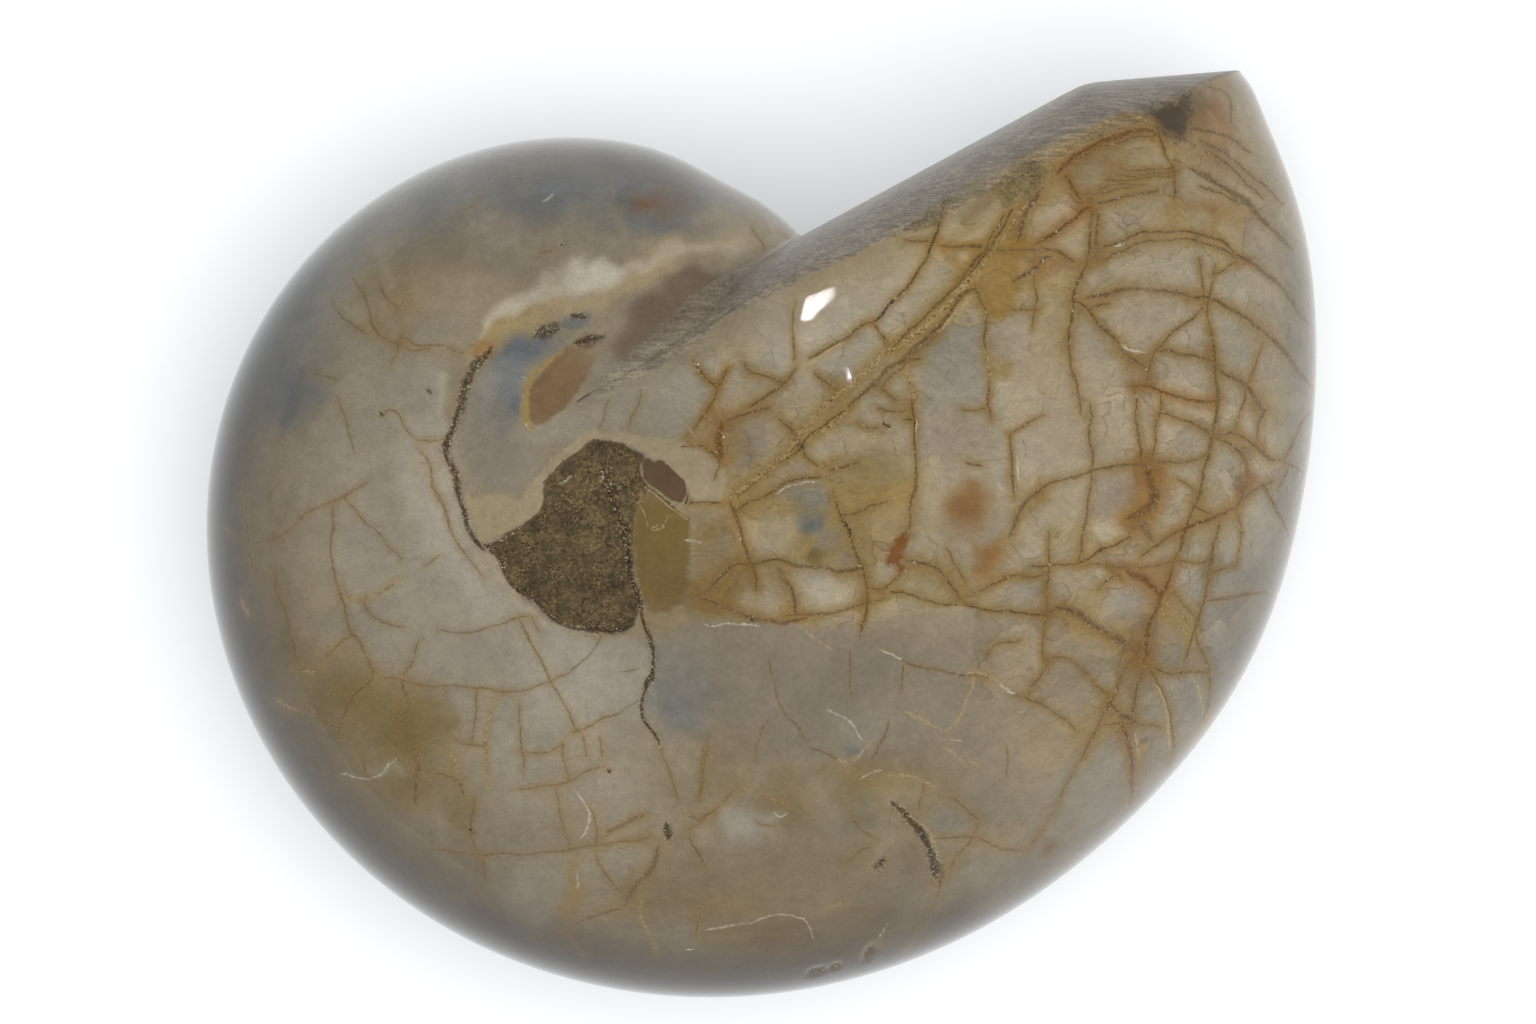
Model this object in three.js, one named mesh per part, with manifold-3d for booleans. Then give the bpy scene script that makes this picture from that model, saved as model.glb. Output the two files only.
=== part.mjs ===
// A fossil nautilus, ground smooth and polished all over, lying on one flank.
//
// The coil is flat, so the stone is described as a half thickness over the plane of the coil,
// the same above and below that plane. Plan sizes are measured from the umbilicus, the still
// centre of the coil: X to the right, Y up the page and Z out of the upper flank. A "turn" is
// the angle in radians from the lip back round the coil, clockwise when seen from above.
// The last coil wraps over the one before it, and ends at the sawn and rounded mouth.

import * as THREE from "three";
import { mergeVertices } from "three/addons/utils/BufferGeometryUtils.js";
import Module from "manifold-3d";

const FULL_TURN = 2 * Math.PI;
const QUARTER_TURN = Math.PI / 2;
const inRadians = (degrees) => (degrees * Math.PI) / 180;

// ---- Driving dimensions, in millimetres ----

// The venter, the outer edge of the coil, is a logarithmic spiral with small departures, each
// a depth, the turn at its middle and how far it spreads to either side of that.
const LIP_RADIUS = 67.1;
const CLOSING_PER_RADIAN = 0.1623;
const LIP_BEARING = inRadians(30.2);
const LIP_DROOP = { depth: -1.3, turn: 0, spread: inRadians(8.5) };
const LIP_CORNER = { depth: -0.7, turn: inRadians(-2.6), spread: inRadians(1.6) };
const CHAMBER_SWELL = { depth: 0.75, turn: inRadians(48), spread: inRadians(14) };
const FOOT_FLAT = { depth: -0.5, turn: inRadians(319), spread: inRadians(9) };
const VENTER_DEPARTURES = [LIP_DROOP, LIP_CORNER, CHAMBER_SWELL, FOOT_FLAT];

// The flanks rise from the umbilicus to a crest, then fall ever faster to the venter.
const CREST_MEAN = 21.1;
const CREST_SWING = 2.5;
const CREST_TURN = inRadians(44);
const CREST_TURNS_PER_TURN = 0.604;
const CREST_SHARE_OF_RADIUS = 0.38;
const CREST_LEAST_RADIUS = 10.4;
const UMBILICUS_HALF_THICKNESS = 19.3;
const FLANK_FLATNESS = 2.3;
const VENTER_ROUNDNESS = 0.48;

// The mouth is a sawn face across the coil. Its distance from the umbilicus is its offset,
// and places along it are counted from the foot of that offset towards the venter.
const MOUTH_BEARING = inRadians(27.2);
const MOUTH_OFFSET = 10.0;
const MOUTH_SPLAY = 0.0215;
const BEVEL_START = 52.3;
const BEVEL_SLOPE = 0.43;
const BEVEL_EASING = 0.5;
const SHOULDER_WIDTH = 3.5;
const SHOULDER_SPLAY = 0.032;
const SHOULDER_FADE_START = 51.5;
const SHOULDER_FADE_END = 65.7;
const SHOULDER_PINCH = 1.35;
const SHOULDER_PINCH_PLACE = 20;
const SHOULDER_PINCH_SPREAD = 8;
const SHOULDER_TIGHTNESS = 6;

// The flank already rolls over a little before it reaches the lip's edge. The roll fades in
// from the umbilicus and out again towards the venter.
const ROLL_DEPTH = 0.9;
const ROLL_REACH = 3.2;
const ROLL_START = 2;
const ROLL_FULL = 14;

// The spot ground flat on the lower flank, on which the fossil rests.
const REST_SPOT_DEPTH = 0.8;

// How finely the surface is faceted.
const COLUMNS = 80;
const UMBILICUS_ROWS = 3;
const RISING_ROWS = 8;
const FALLING_ROWS = 16;
const ROWS = UMBILICUS_ROWS + RISING_ROWS + FALLING_ROWS;
const MOUTH_COLUMNS = 9;
const SOLVER_STEPS = 40;

const POLISHED_CALCITE = new THREE.MeshStandardMaterial({
  name: "polished_calcite",
  color: 0x93856f,
  roughness: 0.2,
  metalness: 0,
});

// ---- Curves ----

const squared = (x) => x * x;
const bell = (x) => Math.exp(-squared(x));

function easeBetween(x, from, to) {
  const share = Math.min(Math.max((x - from) / (to - from), 0), 1);
  return share * share * (3 - 2 * share);
}

// Zero well below the start and a straight line well above it, with an eased corner.
const easedExcess = (x) => BEVEL_EASING * Math.log1p(Math.exp(x / BEVEL_EASING));

function venterRadius(turn) {
  const coil = LIP_RADIUS * Math.exp(-CLOSING_PER_RADIAN * turn);
  const departure = (part) => part.depth * bell((turn - part.turn) / part.spread);
  return VENTER_DEPARTURES.reduce((radius, part) => radius + departure(part), coil);
}

function crestHalfThickness(turn) {
  return CREST_MEAN + CREST_SWING * Math.cos(CREST_TURNS_PER_TURN * (turn - CREST_TURN));
}

const crestRadiusFor = (venter) => Math.max(CREST_SHARE_OF_RADIUS * venter, CREST_LEAST_RADIUS);

// Height above the plane of the coil before the roll to the lip, which only the last coil has.
function unrolledHeight(radius, turn) {
  const venter = venterRadius(turn);
  const crest = crestHalfThickness(turn);
  const crestRadius = crestRadiusFor(venter);
  if (radius <= crestRadius) {
    const rise = easeBetween(radius, UMBILICUS_RADIUS, crestRadius);
    return UMBILICUS_HALF_THICKNESS + (crest - UMBILICUS_HALF_THICKNESS) * rise;
  }
  const share = Math.min((radius - crestRadius) / (venter - crestRadius), 1);
  return crest * Math.pow(1 - Math.pow(share, FLANK_FLATNESS), VENTER_ROUNDNESS);
}

// ---- The mouth ----

// Offset of the mouth's face in the plane of the coil, bevelled back towards the venter.
function mouthOffset(along) {
  return MOUTH_OFFSET + MOUTH_SPLAY * along - BEVEL_SLOPE * easedExcess(along - BEVEL_START);
}

// Width in plan of the rounded shoulder between the mouth's face and the flank.
function shoulderWidth(along) {
  const pinch = SHOULDER_PINCH * bell((along - SHOULDER_PINCH_PLACE) / SHOULDER_PINCH_SPREAD);
  const fade = easeBetween(along, SHOULDER_FADE_START, SHOULDER_FADE_END);
  return (SHOULDER_WIDTH + SHOULDER_SPLAY * along - pinch) * (1 - fade);
}

const lipOffset = (along) => mouthOffset(along) - shoulderWidth(along);

// Inside this radius the flank runs unbroken round the umbilicus. The lip starts from it.
const UMBILICUS_RADIUS = lipOffset(0);

// An angle is counted from the mouth's bearing, the other way round from a turn. The same
// rule takes one to the other and back.
const turnOfAngle = (angle) => LIP_BEARING - MOUTH_BEARING - angle;
const angleOfTurn = turnOfAngle;

function lipRoll(radius, turn) {
  if (turn > Math.PI) return 0;
  const along = radius * Math.cos(angleOfTurn(turn));
  const inside = lipOffset(along) - radius * Math.sin(angleOfTurn(turn));
  const fadeIn = easeBetween(along, ROLL_START, ROLL_FULL);
  const fadeOut = easeBetween(along, SHOULDER_FADE_START, SHOULDER_FADE_END);
  const nearness = 1 - easeBetween(inside, 0, ROLL_REACH);
  return ROLL_DEPTH * squared(nearness) * fadeIn * (1 - fadeOut);
}

// The finished flank's height above the plane of the coil.
const flankHeight = (radius, turn) => unrolledHeight(radius, turn) - lipRoll(radius, turn);

function lipHeight(along) {
  const offset = lipOffset(along);
  return flankHeight(Math.hypot(along, offset), turnOfAngle(Math.atan2(offset, along)));
}

// Offset of the mouth's surface at a height: nearly flat, with shoulders that round over.
function mouthSurface(along, height) {
  const share = Math.min(height / Math.max(lipHeight(along), Number.EPSILON), 1);
  return mouthOffset(along) - shoulderWidth(along) * Math.pow(share, SHOULDER_TIGHTNESS);
}

// The angle from the mouth's direction at which a test changes from negative to positive.
function angleWhere(test, low, high) {
  for (let step = 0; step < SOLVER_STEPS; step++) {
    const middle = (low + high) / 2;
    if (test(middle) < 0) low = middle;
    else high = middle;
  }
  return (low + high) / 2;
}

// Angle of the lip's edge at a radius.
function lipAngle(radius) {
  const above = (angle) => radius * Math.sin(angle) - lipOffset(radius * Math.cos(angle));
  return angleWhere(above, 0, QUARTER_TURN);
}

// Angle at which the mouth's surface meets the coil before the last, at a radius.
function footAngle(radius) {
  const above = (angle) => {
    const height = flankHeight(radius, turnOfAngle(angle) + FULL_TURN);
    return radius * Math.sin(angle) - mouthSurface(radius * Math.cos(angle), height);
  };
  return angleWhere(above, lipAngle(radius), QUARTER_TURN);
}

// ---- The flank as a grid ----

// Column 0 runs along the lip and the last one along the mouth's foot. The turns of those
// two are eased into the columns between, which are straight spokes about the umbilicus.
function turnAt(column, radius) {
  const share = column / COLUMNS;
  const spoke = FULL_TURN * share - QUARTER_TURN;
  const lipBend = QUARTER_TURN - lipAngle(Math.max(radius, UMBILICUS_RADIUS));
  const footReach = Math.min(Math.max(radius, UMBILICUS_RADIUS), FOOT_RADIUS);
  const footBend = QUARTER_TURN - footAngle(footReach);
  const bend = lipBend * squared(1 - share) + footBend * squared(share);
  return LIP_BEARING - MOUTH_BEARING + spoke + bend;
}

function settle(start, next) {
  let value = start;
  for (let step = 0; step < SOLVER_STEPS; step++) value = next(value);
  return value;
}

// The radius at which the foot of the mouth reaches the venter of the coil before the last.
const FOOT_RADIUS = settle(LIP_RADIUS / 2, (radius) =>
  venterRadius(turnOfAngle(footAngle(radius)) + FULL_TURN),
);

// Rows are evenly spaced up to the crest. From there they crowd together towards the venter,
// where the flank is steep, so that each has its share of the section's bend.
function rowRadius(row, reach) {
  if (row <= UMBILICUS_ROWS) return (UMBILICUS_RADIUS * row) / UMBILICUS_ROWS;
  const crestRadius = crestRadiusFor(reach);
  const risen = (row - UMBILICUS_ROWS) / RISING_ROWS;
  if (risen <= 1) return THREE.MathUtils.lerp(UMBILICUS_RADIUS, crestRadius, risen);
  const fallen = (row - UMBILICUS_ROWS - RISING_ROWS) / FALLING_ROWS;
  const share = Math.pow(squared(Math.sin(QUARTER_TURN * fallen)), 1 / FLANK_FLATNESS);
  return THREE.MathUtils.lerp(crestRadius, reach, share);
}

function flankPoint(radius, turn) {
  const bearing = LIP_BEARING - turn;
  const [x, y] = [radius * Math.cos(bearing), radius * Math.sin(bearing)];
  return new THREE.Vector3(x, y, flankHeight(radius, turn));
}

// Points by column, each from the umbilicus out to the venter. Within the umbilicus the last
// column is the first one again, so the surface closes there.
function flankGrid() {
  const grid = [];
  for (let column = 0; column <= COLUMNS; column++) {
    const reach = settle(LIP_RADIUS, (radius) => venterRadius(turnAt(column, radius)));
    const points = [];
    for (let row = 0; row <= ROWS; row++) {
      const radius = rowRadius(row, reach);
      const shared = column === COLUMNS && row <= UMBILICUS_ROWS;
      const point = shared ? grid[0][row] : flankPoint(radius, turnAt(column, radius));
      if (row === ROWS) point.z = 0;
      points.push(point);
    }
    grid.push(points);
  }
  return grid;
}

// The mouth's face row by row, from the lip to the foot on the coil before the last. Its
// first row has no length, because there the lip leaves the umbilicus.
function mouthGrid(lip, foot) {
  const upright = new THREE.Vector3(0, 0, 1);
  const alongOf = (point) => point.x * Math.cos(MOUTH_BEARING) + point.y * Math.sin(MOUTH_BEARING);
  const rows = [];
  for (let row = UMBILICUS_ROWS; row < lip.length; row++) {
    const points = [lip[row]];
    for (let column = 1; column < MOUTH_COLUMNS && row > UMBILICUS_ROWS; column++) {
      const share = column / MOUTH_COLUMNS;
      const along = THREE.MathUtils.lerp(alongOf(lip[row]), alongOf(foot[row]), share);
      const height = THREE.MathUtils.lerp(lip[row].z, foot[row].z, share);
      const point = new THREE.Vector3(along, mouthSurface(along, height), height);
      points.push(point.applyAxisAngle(upright, MOUTH_BEARING));
    }
    while (points.length < MOUTH_COLUMNS) points.push(lip[row]);
    rows.push([...points, foot[row]]);
  }
  return rows;
}

// ---- The closed surface ----

// Every grid square of the upper half becomes two triangles, and two more mirrored below.
function mirroredTriangles(grids) {
  const places = [];
  const addTriangle = (a, b, c) => {
    if (a.equals(b) || b.equals(c) || c.equals(a)) return;
    places.push(...a, ...b, ...c);
    for (const corner of [a, c, b]) places.push(corner.x, corner.y, -corner.z);
  };
  for (const grid of grids) {
    for (let i = 0; i + 1 < grid.length; i++) {
      for (let j = 0; j + 1 < grid[i].length; j++) {
        addTriangle(grid[i][j], grid[i + 1][j + 1], grid[i][j + 1]);
        addTriangle(grid[i][j], grid[i + 1][j], grid[i + 1][j + 1]);
      }
    }
  }
  return new THREE.BufferGeometry().setAttribute(
    "position",
    new THREE.Float32BufferAttribute(places, 3),
  );
}

function coilGeometry() {
  const flank = flankGrid();
  const mouth = mouthGrid(flank[0], flank[COLUMNS]);
  return mirroredTriangles([flank, mouth]);
}

// ---- Solids ----

const wasm = await Module();
wasm.setup();

const WELD_DISTANCE = 1e-4;

function solidOf(geometry) {
  geometry.deleteAttribute("normal");
  geometry.deleteAttribute("uv");
  const merged = mergeVertices(geometry, WELD_DISTANCE);
  const corners = merged.index.array;
  const triVerts = [];
  for (let first = 0; first < corners.length; first += 3) {
    const [a, b, c] = corners.slice(first, first + 3);
    if (a !== b && b !== c && c !== a) triVerts.push(a, b, c);
  }
  return new wasm.Manifold(
    new wasm.Mesh({
      numProp: 3,
      vertProperties: merged.attributes.position.array,
      triVerts: new Uint32Array(triVerts),
    }),
  );
}

function geometryOf(solid) {
  const { vertProperties, triVerts } = solid.getMesh();
  const geometry = new THREE.BufferGeometry();
  geometry.setAttribute("position", new THREE.BufferAttribute(vertProperties, 3));
  geometry.setIndex(new THREE.BufferAttribute(triVerts, 1));
  return geometry;
}

// Everything below the rest spot, to be ground away. It is wider than the whole coil.
function groundAway() {
  const span = LIP_RADIUS * FULL_TURN;
  const spotLevel = REST_SPOT_DEPTH - CREST_MEAN - CREST_SWING;
  const block = new THREE.BoxGeometry(span, span, CREST_MEAN);
  return block.translate(0, 0, spotLevel - CREST_MEAN / 2);
}

// The finished stone stands over the middle of its plan, with its rest spot at height zero.
function nautilusMesh() {
  const geometry = geometryOf(solidOf(coilGeometry()).subtract(solidOf(groundAway())));
  geometry.computeBoundingBox();
  const middle = geometry.boundingBox.getCenter(new THREE.Vector3());
  geometry.translate(-middle.x, -middle.y, -geometry.boundingBox.min.z);
  geometry.computeVertexNormals();
  const mesh = new THREE.Mesh(geometry, POLISHED_CALCITE);
  mesh.name = "fossil_nautilus";
  return mesh;
}

const specimen = new THREE.Group();
specimen.name = "fossil_nautilus_specimen";
specimen.add(nautilusMesh());

export default specimen;
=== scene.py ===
# %% [markdown]
# # A fossil nautilus, ground and polished
#
# The real thing is a coiled shell whose chambers filled with calcite and fine mud. It was
# ground down on a wheel and polished, so its skin is smooth, while all that is worth seeing
# lies in the stone: stained veins, cloudy chambers, a rough plug of mud in the navel.
#
# It could be made by sculpting and painting. Here the skin is worked out with numpy as a
# function of two parameters instead, and the veins are drawn as lines whose distance from
# each point of the skin is stored on the mesh. A distance changes smoothly between points,
# so a shader can draw a hair-thin vein from it on a mesh that is much coarser.

# %% Load the fixed frame
import math

import bpy
import numpy as np
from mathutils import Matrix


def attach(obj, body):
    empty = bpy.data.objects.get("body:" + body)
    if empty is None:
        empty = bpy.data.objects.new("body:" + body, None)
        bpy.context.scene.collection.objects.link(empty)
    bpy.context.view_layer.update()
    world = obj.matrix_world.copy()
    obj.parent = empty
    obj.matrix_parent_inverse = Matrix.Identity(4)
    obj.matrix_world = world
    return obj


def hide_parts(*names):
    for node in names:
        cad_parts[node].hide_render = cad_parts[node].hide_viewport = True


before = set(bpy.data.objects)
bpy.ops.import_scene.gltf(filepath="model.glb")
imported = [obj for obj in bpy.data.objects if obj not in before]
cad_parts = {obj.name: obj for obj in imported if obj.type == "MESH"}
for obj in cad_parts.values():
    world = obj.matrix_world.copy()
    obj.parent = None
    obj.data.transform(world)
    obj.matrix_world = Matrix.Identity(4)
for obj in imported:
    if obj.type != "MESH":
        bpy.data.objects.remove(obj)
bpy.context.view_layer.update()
scene = bpy.context.scene

# %% [markdown]
# ## The coil
#
# A nautilus grows in a logarithmic spiral: each step round the coil multiplies the radius by
# the same factor. The outer edge is called the venter. The flanks rise from the navel to a
# crest and then fall ever faster to the venter, so one formula for the height over the plane
# of the coil gives the whole flank. All lengths here are in millimetres about the navel.
# A turn is the angle from the lip back round the coil, clockwise as seen from above.

# %% Curves of the coil
FULL_TURN = 2 * math.pi
QUARTER_TURN = math.pi / 2
LIP_RADIUS = 67.1
CLOSING_PER_RADIAN = 0.1623
LIP_BEARING = math.radians(30.2)
# Small departures of the venter from the spiral: depth, middle and spread of each.
VENTER_DEPARTURES = [(-1.3, 0, 8.5), (-0.7, -2.6, 1.6), (0.75, 48, 14), (-0.5, 319, 9)]
CREST_MEAN, CREST_SWING = 21.1, 2.5
CREST_TURN, CREST_TURNS_PER_TURN = math.radians(44), 0.604
CREST_SHARE_OF_RADIUS, CREST_LEAST_RADIUS = 0.38, 10.4
UMBILICUS_HALF_THICKNESS = 19.3
FLANK_FLATNESS, VENTER_ROUNDNESS = 2.3, 0.48


def bell(x):
    """e to the minus x squared."""
    return np.exp(-np.square(x))


def ease(x, start, end):
    """Zero up to start and one from end on, with a smooth S of 3 s^2 - 2 s^3 between them."""
    share = np.clip((x - start) / (end - start), 0, 1)
    return share * share * (3 - 2 * share)


def venter_radius(turn):
    """Radius of the outer edge: the lip's radius times e to the minus closing times turn."""
    radius = LIP_RADIUS * np.exp(-CLOSING_PER_RADIAN * turn)
    for depth, middle, spread in VENTER_DEPARTURES:
        radius = radius + depth * bell((np.degrees(turn) - middle) / spread)
    return radius


def unrolled_height(radius, turn):
    """Half thickness of the coil: an eased rise from the navel to the crest, and beyond it
    the crest times (1 - s^flatness)^roundness, where s runs from 0 there to 1 at the venter."""
    venter = venter_radius(turn)
    crest = CREST_MEAN + CREST_SWING * np.cos(CREST_TURNS_PER_TURN * (turn - CREST_TURN))
    crest_radius = np.maximum(CREST_SHARE_OF_RADIUS * venter, CREST_LEAST_RADIUS)
    rise = ease(radius, UMBILICUS_RADIUS, crest_radius)
    inner = UMBILICUS_HALF_THICKNESS + (crest - UMBILICUS_HALF_THICKNESS) * rise
    share = np.clip((radius - crest_radius) / (venter - crest_radius), 0, 1)
    outer = crest * (1 - share**FLANK_FLATNESS) ** VENTER_ROUNDNESS
    return np.where(radius <= crest_radius, inner, outer)

# %% [markdown]
# ## The mouth
#
# The last chamber was sawn off straight, a little clear of the navel, and the cut's edge was
# rounded over. So the mouth is one nearly flat face, with a shoulder up to the lip. Where it
# stands on the coil before the last, it has a foot. Lip and foot are found by halving an
# interval until a test changes sign, which needs no algebra.

# %% Curves of the mouth
MOUTH_BEARING = math.radians(27.2)
MOUTH_OFFSET, MOUTH_SPLAY = 10.0, 0.0215
BEVEL_START, BEVEL_SLOPE, BEVEL_EASING = 52.3, 0.43, 0.5
SHOULDER_WIDTH, SHOULDER_SPLAY, SHOULDER_TIGHTNESS = 3.5, 0.032, 6
SHOULDER_FADE_START, SHOULDER_FADE_END = 51.5, 65.7
SHOULDER_PINCH, SHOULDER_PINCH_PLACE, SHOULDER_PINCH_SPREAD = 1.35, 20, 8
ROLL_DEPTH, ROLL_REACH, ROLL_START, ROLL_FULL = 0.9, 3.2, 2, 14
SOLVER_STEPS = 40


def mouth_offset(along):
    """Distance of the mouth's face from the navel, bevelled back towards the venter."""
    excess = BEVEL_EASING * np.log1p(np.exp((along - BEVEL_START) / BEVEL_EASING))
    return MOUTH_OFFSET + MOUTH_SPLAY * along - BEVEL_SLOPE * excess


def shoulder_width(along):
    """Width in plan of the rounded edge between the mouth's face and the flank."""
    pinch = SHOULDER_PINCH * bell((along - SHOULDER_PINCH_PLACE) / SHOULDER_PINCH_SPREAD)
    fade = ease(along, SHOULDER_FADE_START, SHOULDER_FADE_END)
    return (SHOULDER_WIDTH + SHOULDER_SPLAY * along - pinch) * (1 - fade)


def lip_offset(along):
    """Distance of the lip's edge from the navel, square to the mouth's direction."""
    return mouth_offset(along) - shoulder_width(along)


def turn_of_angle(angle):
    """Takes an angle from the mouth's bearing to a turn, and a turn back to the angle."""
    return LIP_BEARING - MOUTH_BEARING - angle


UMBILICUS_RADIUS = float(lip_offset(0.0))


def flank_height(radius, turn):
    """The half thickness less the flank's roll over towards the lip's edge."""
    angle = turn_of_angle(turn)
    along = radius * np.cos(angle)
    inside = lip_offset(along) - radius * np.sin(angle)
    fade = ease(along, ROLL_START, ROLL_FULL)
    fade = fade * (1 - ease(along, SHOULDER_FADE_START, SHOULDER_FADE_END))
    roll = ROLL_DEPTH * (1 - ease(inside, 0, ROLL_REACH)) ** 2 * fade
    return unrolled_height(radius, turn) - np.where(turn > math.pi, 0, roll)


def mouth_surface(along, height):
    """Offset of the mouth at a height: flat low down, and rounded over to the lip by the
    sixth power of the height's share of the lip's height."""
    edge = lip_offset(along)
    lip_height = flank_height(np.hypot(along, edge), turn_of_angle(np.arctan2(edge, along)))
    share = np.minimum(height / np.maximum(lip_height, 1e-9), 1)
    return mouth_offset(along) - shoulder_width(along) * share**SHOULDER_TIGHTNESS


def where_rises(test, low, high):
    """Halves the interval until it closes on the place where test changes from - to +."""
    for _ in range(SOLVER_STEPS):
        middle = (low + high) / 2
        under = test(middle) < 0
        low, high = np.where(under, middle, low), np.where(under, high, middle)
    return (low + high) / 2


def lip_angle(radius):
    """Angle of the lip's edge at a radius, from the mouth's bearing."""

    def above(angle):
        return radius * np.sin(angle) - lip_offset(radius * np.cos(angle))

    return where_rises(above, np.zeros_like(radius), np.full_like(radius, QUARTER_TURN))


def foot_angle(radius):
    """Angle at which the mouth's face meets the coil before the last."""

    def above(angle):
        height = flank_height(radius, turn_of_angle(angle) + FULL_TURN)
        return radius * np.sin(angle) - mouth_surface(radius * np.cos(angle), height)

    return where_rises(above, lip_angle(radius), np.full_like(radius, QUARTER_TURN))


foot_radius = np.array([LIP_RADIUS / 2])
for _ in range(SOLVER_STEPS):
    foot_radius = venter_radius(turn_of_angle(foot_angle(foot_radius)) + FULL_TURN)
FOOT_RADIUS = float(foot_radius[0])
radius_samples = np.linspace(UMBILICUS_RADIUS, LIP_RADIUS + 2, 2400)
lip_samples = lip_angle(radius_samples)
foot_samples = foot_angle(np.minimum(radius_samples, FOOT_RADIUS))
print(f"navel radius {UMBILICUS_RADIUS:.2f} mm, mouth's foot ends at {FOOT_RADIUS:.2f} mm")

# %% [markdown]
# ## One closed skin
#
# The flank is a grid of columns round the coil and rows from the navel to the venter. Column
# 0 bends along the lip and the last one along the mouth's foot, and each row goes on across
# the mouth to close on itself. The rows run out over the upper flank, round the venter and
# back in underneath. A polar grid crowds at its middle, so the number of columns halves on
# the way in, and again underneath where nothing fine is drawn.

# %% Columns and rows
COLUMNS = 688
MOUTH_COLUMNS = 26
SECTION_SAMPLES = 500
RIM_WEIGHT = 0.62
WIDE_CROWDING, LIP_CROWDING = 0.8, 1.7


def turn_at(share, radius):
    """Turn of a column: straight spokes, eased to the lip's bend and to the foot's bend."""
    held = np.maximum(radius, UMBILICUS_RADIUS)
    lip_bend = QUARTER_TURN - np.interp(held, radius_samples, lip_samples)
    foot_bend = QUARTER_TURN - np.interp(held, radius_samples, foot_samples)
    bend = lip_bend * (1 - share) ** 2 + foot_bend * share**2
    return LIP_BEARING - MOUTH_BEARING + FULL_TURN * share - QUARTER_TURN + bend


def reach_of(share):
    """Radius at which a column arrives at the venter, by repeating until it stays put."""
    radius = np.full_like(share, LIP_RADIUS)
    for _ in range(SOLVER_STEPS):
        radius = venter_radius(turn_at(share, radius))
    return radius


# Columns crowd together where the coil is wide, so that they are evenly apart on its edge.
even = np.linspace(0, 1, 4001)
crowding = np.cumsum(reach_of(even) ** WIDE_CROWDING)
crowding = (crowding - crowding[0]) / (crowding[-1] - crowding[0])
column_share = np.interp(np.linspace(0, 1, COLUMNS + 1), crowding, even)
column_reach = reach_of(column_share)

# Rows are spaced by length along the section, with the steep rim counted short.
section_share = 1 - (1 - np.linspace(0, 1, SECTION_SAMPLES)) ** 2
section_radius = UMBILICUS_RADIUS + np.outer(column_reach - UMBILICUS_RADIUS, section_share)
section_turn = turn_at(column_share[:, None], section_radius)
section_height = unrolled_height(section_radius, section_turn)
steps = np.hypot(np.diff(section_radius), RIM_WEIGHT * np.diff(section_height))
length = np.concatenate([np.zeros((COLUMNS + 1, 1)), np.cumsum(steps, 1)], 1)
length /= length[:, -1:]


def radii_at(row_share):
    """Radius of every column at a share of the way from the navel to the venter."""
    return np.array([np.interp(row_share, length[i], section_radius[i])
                     for i in range(COLUMNS + 1)])


# Each band of rows: how many columns are merged into one, and its rows' shares of the way.
upper_bands = [(4, np.linspace(0, 0.10, 15)), (2, np.linspace(0.10, 0.33, 34)[1:]),
               (1, np.linspace(0.33, 1, 97)[1:])]
lower_bands = [(1, np.array([0.985])), (2, np.array([0.965])),
               (4, np.linspace(0.94, 0.12, 42)), (8, np.linspace(0.10, 0, 5))]
navel_radii = np.linspace(0, 1, 19)[1:-1] * UMBILICUS_RADIUS
print(COLUMNS, "columns,", sum(len(rows) for _, rows in upper_bands), "rows above")

# %% Points and faces of the skin
points, triangles = [], []
point_count = 0


def add_points(new):
    """Stores points and gives back their numbers."""
    global point_count
    points.append(np.atleast_2d(new))
    point_count += len(points[-1])
    return np.arange(point_count - len(points[-1]), point_count)


def flank_points(share, radius, side):
    """Points of the skin at columns and radii, above (side 1) or below (side -1)."""
    turn = turn_at(share, radius)
    bearing = LIP_BEARING - turn
    height = np.where(radius >= column_reach_at(share) - 1e-6, 0, flank_height(radius, turn))
    return np.stack([radius * np.cos(bearing), radius * np.sin(bearing), side * height], -1)


def column_reach_at(share):
    """Radius at which the column at this share of the way round meets the venter."""
    return np.interp(share, column_share, column_reach)


def mouth_points(lip, foot):
    """Points across the mouth from foot to lip: place along it and height change in
    proportion, more finely near the lip, and the mouth's own curve gives the offset."""
    toward_lip = 1 - (np.arange(MOUTH_COLUMNS, 0, -1) / (MOUTH_COLUMNS + 1)) ** LIP_CROWDING
    east, north = math.cos(MOUTH_BEARING), math.sin(MOUTH_BEARING)
    along_lip, along_foot = (p[0] * east + p[1] * north for p in (lip, foot))
    along = along_foot + (along_lip - along_foot) * toward_lip
    height = foot[2] + (lip[2] - foot[2]) * toward_lip
    offset = mouth_surface(along, np.abs(height))
    return np.stack([along * east - offset * north, along * north + offset * east, height], -1)


def stitch(inner, outer):
    """Triangles between two rings of point numbers. One may have twice as many columns."""
    a, b = np.asarray(inner), np.asarray(outer)
    if len(a) == len(b):
        parts = [(a[:-1], a[1:], b[1:]), (a[:-1], b[1:], b[:-1])]
    elif len(b) > len(a):
        parts = [(a[:-1], a[1:], b[1::2]), (a[:-1], b[1::2], b[:-2:2]), (a[1:], b[2::2], b[1::2])]
    else:
        parts = [(a[:-2:2], a[1::2], b[:-1]), (a[1::2], b[1:], b[:-1]), (a[1::2], a[2::2], b[1:])]
    for corners in parts:
        triangles.append(np.stack(corners, -1))


def navel_rings(merged, radii, side):
    """Closed rings within the navel, from its middle point outwards."""
    share = column_share[::merged]
    middle = add_points([0, 0, side * UMBILICUS_HALF_THICKNESS])
    rings = [np.repeat(middle, len(share))]
    for radius in radii:
        ring = add_points(flank_points(share[:-1], np.full(len(share) - 1, radius), side))
        rings.append(np.append(ring, ring[0]))
    return rings


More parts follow.
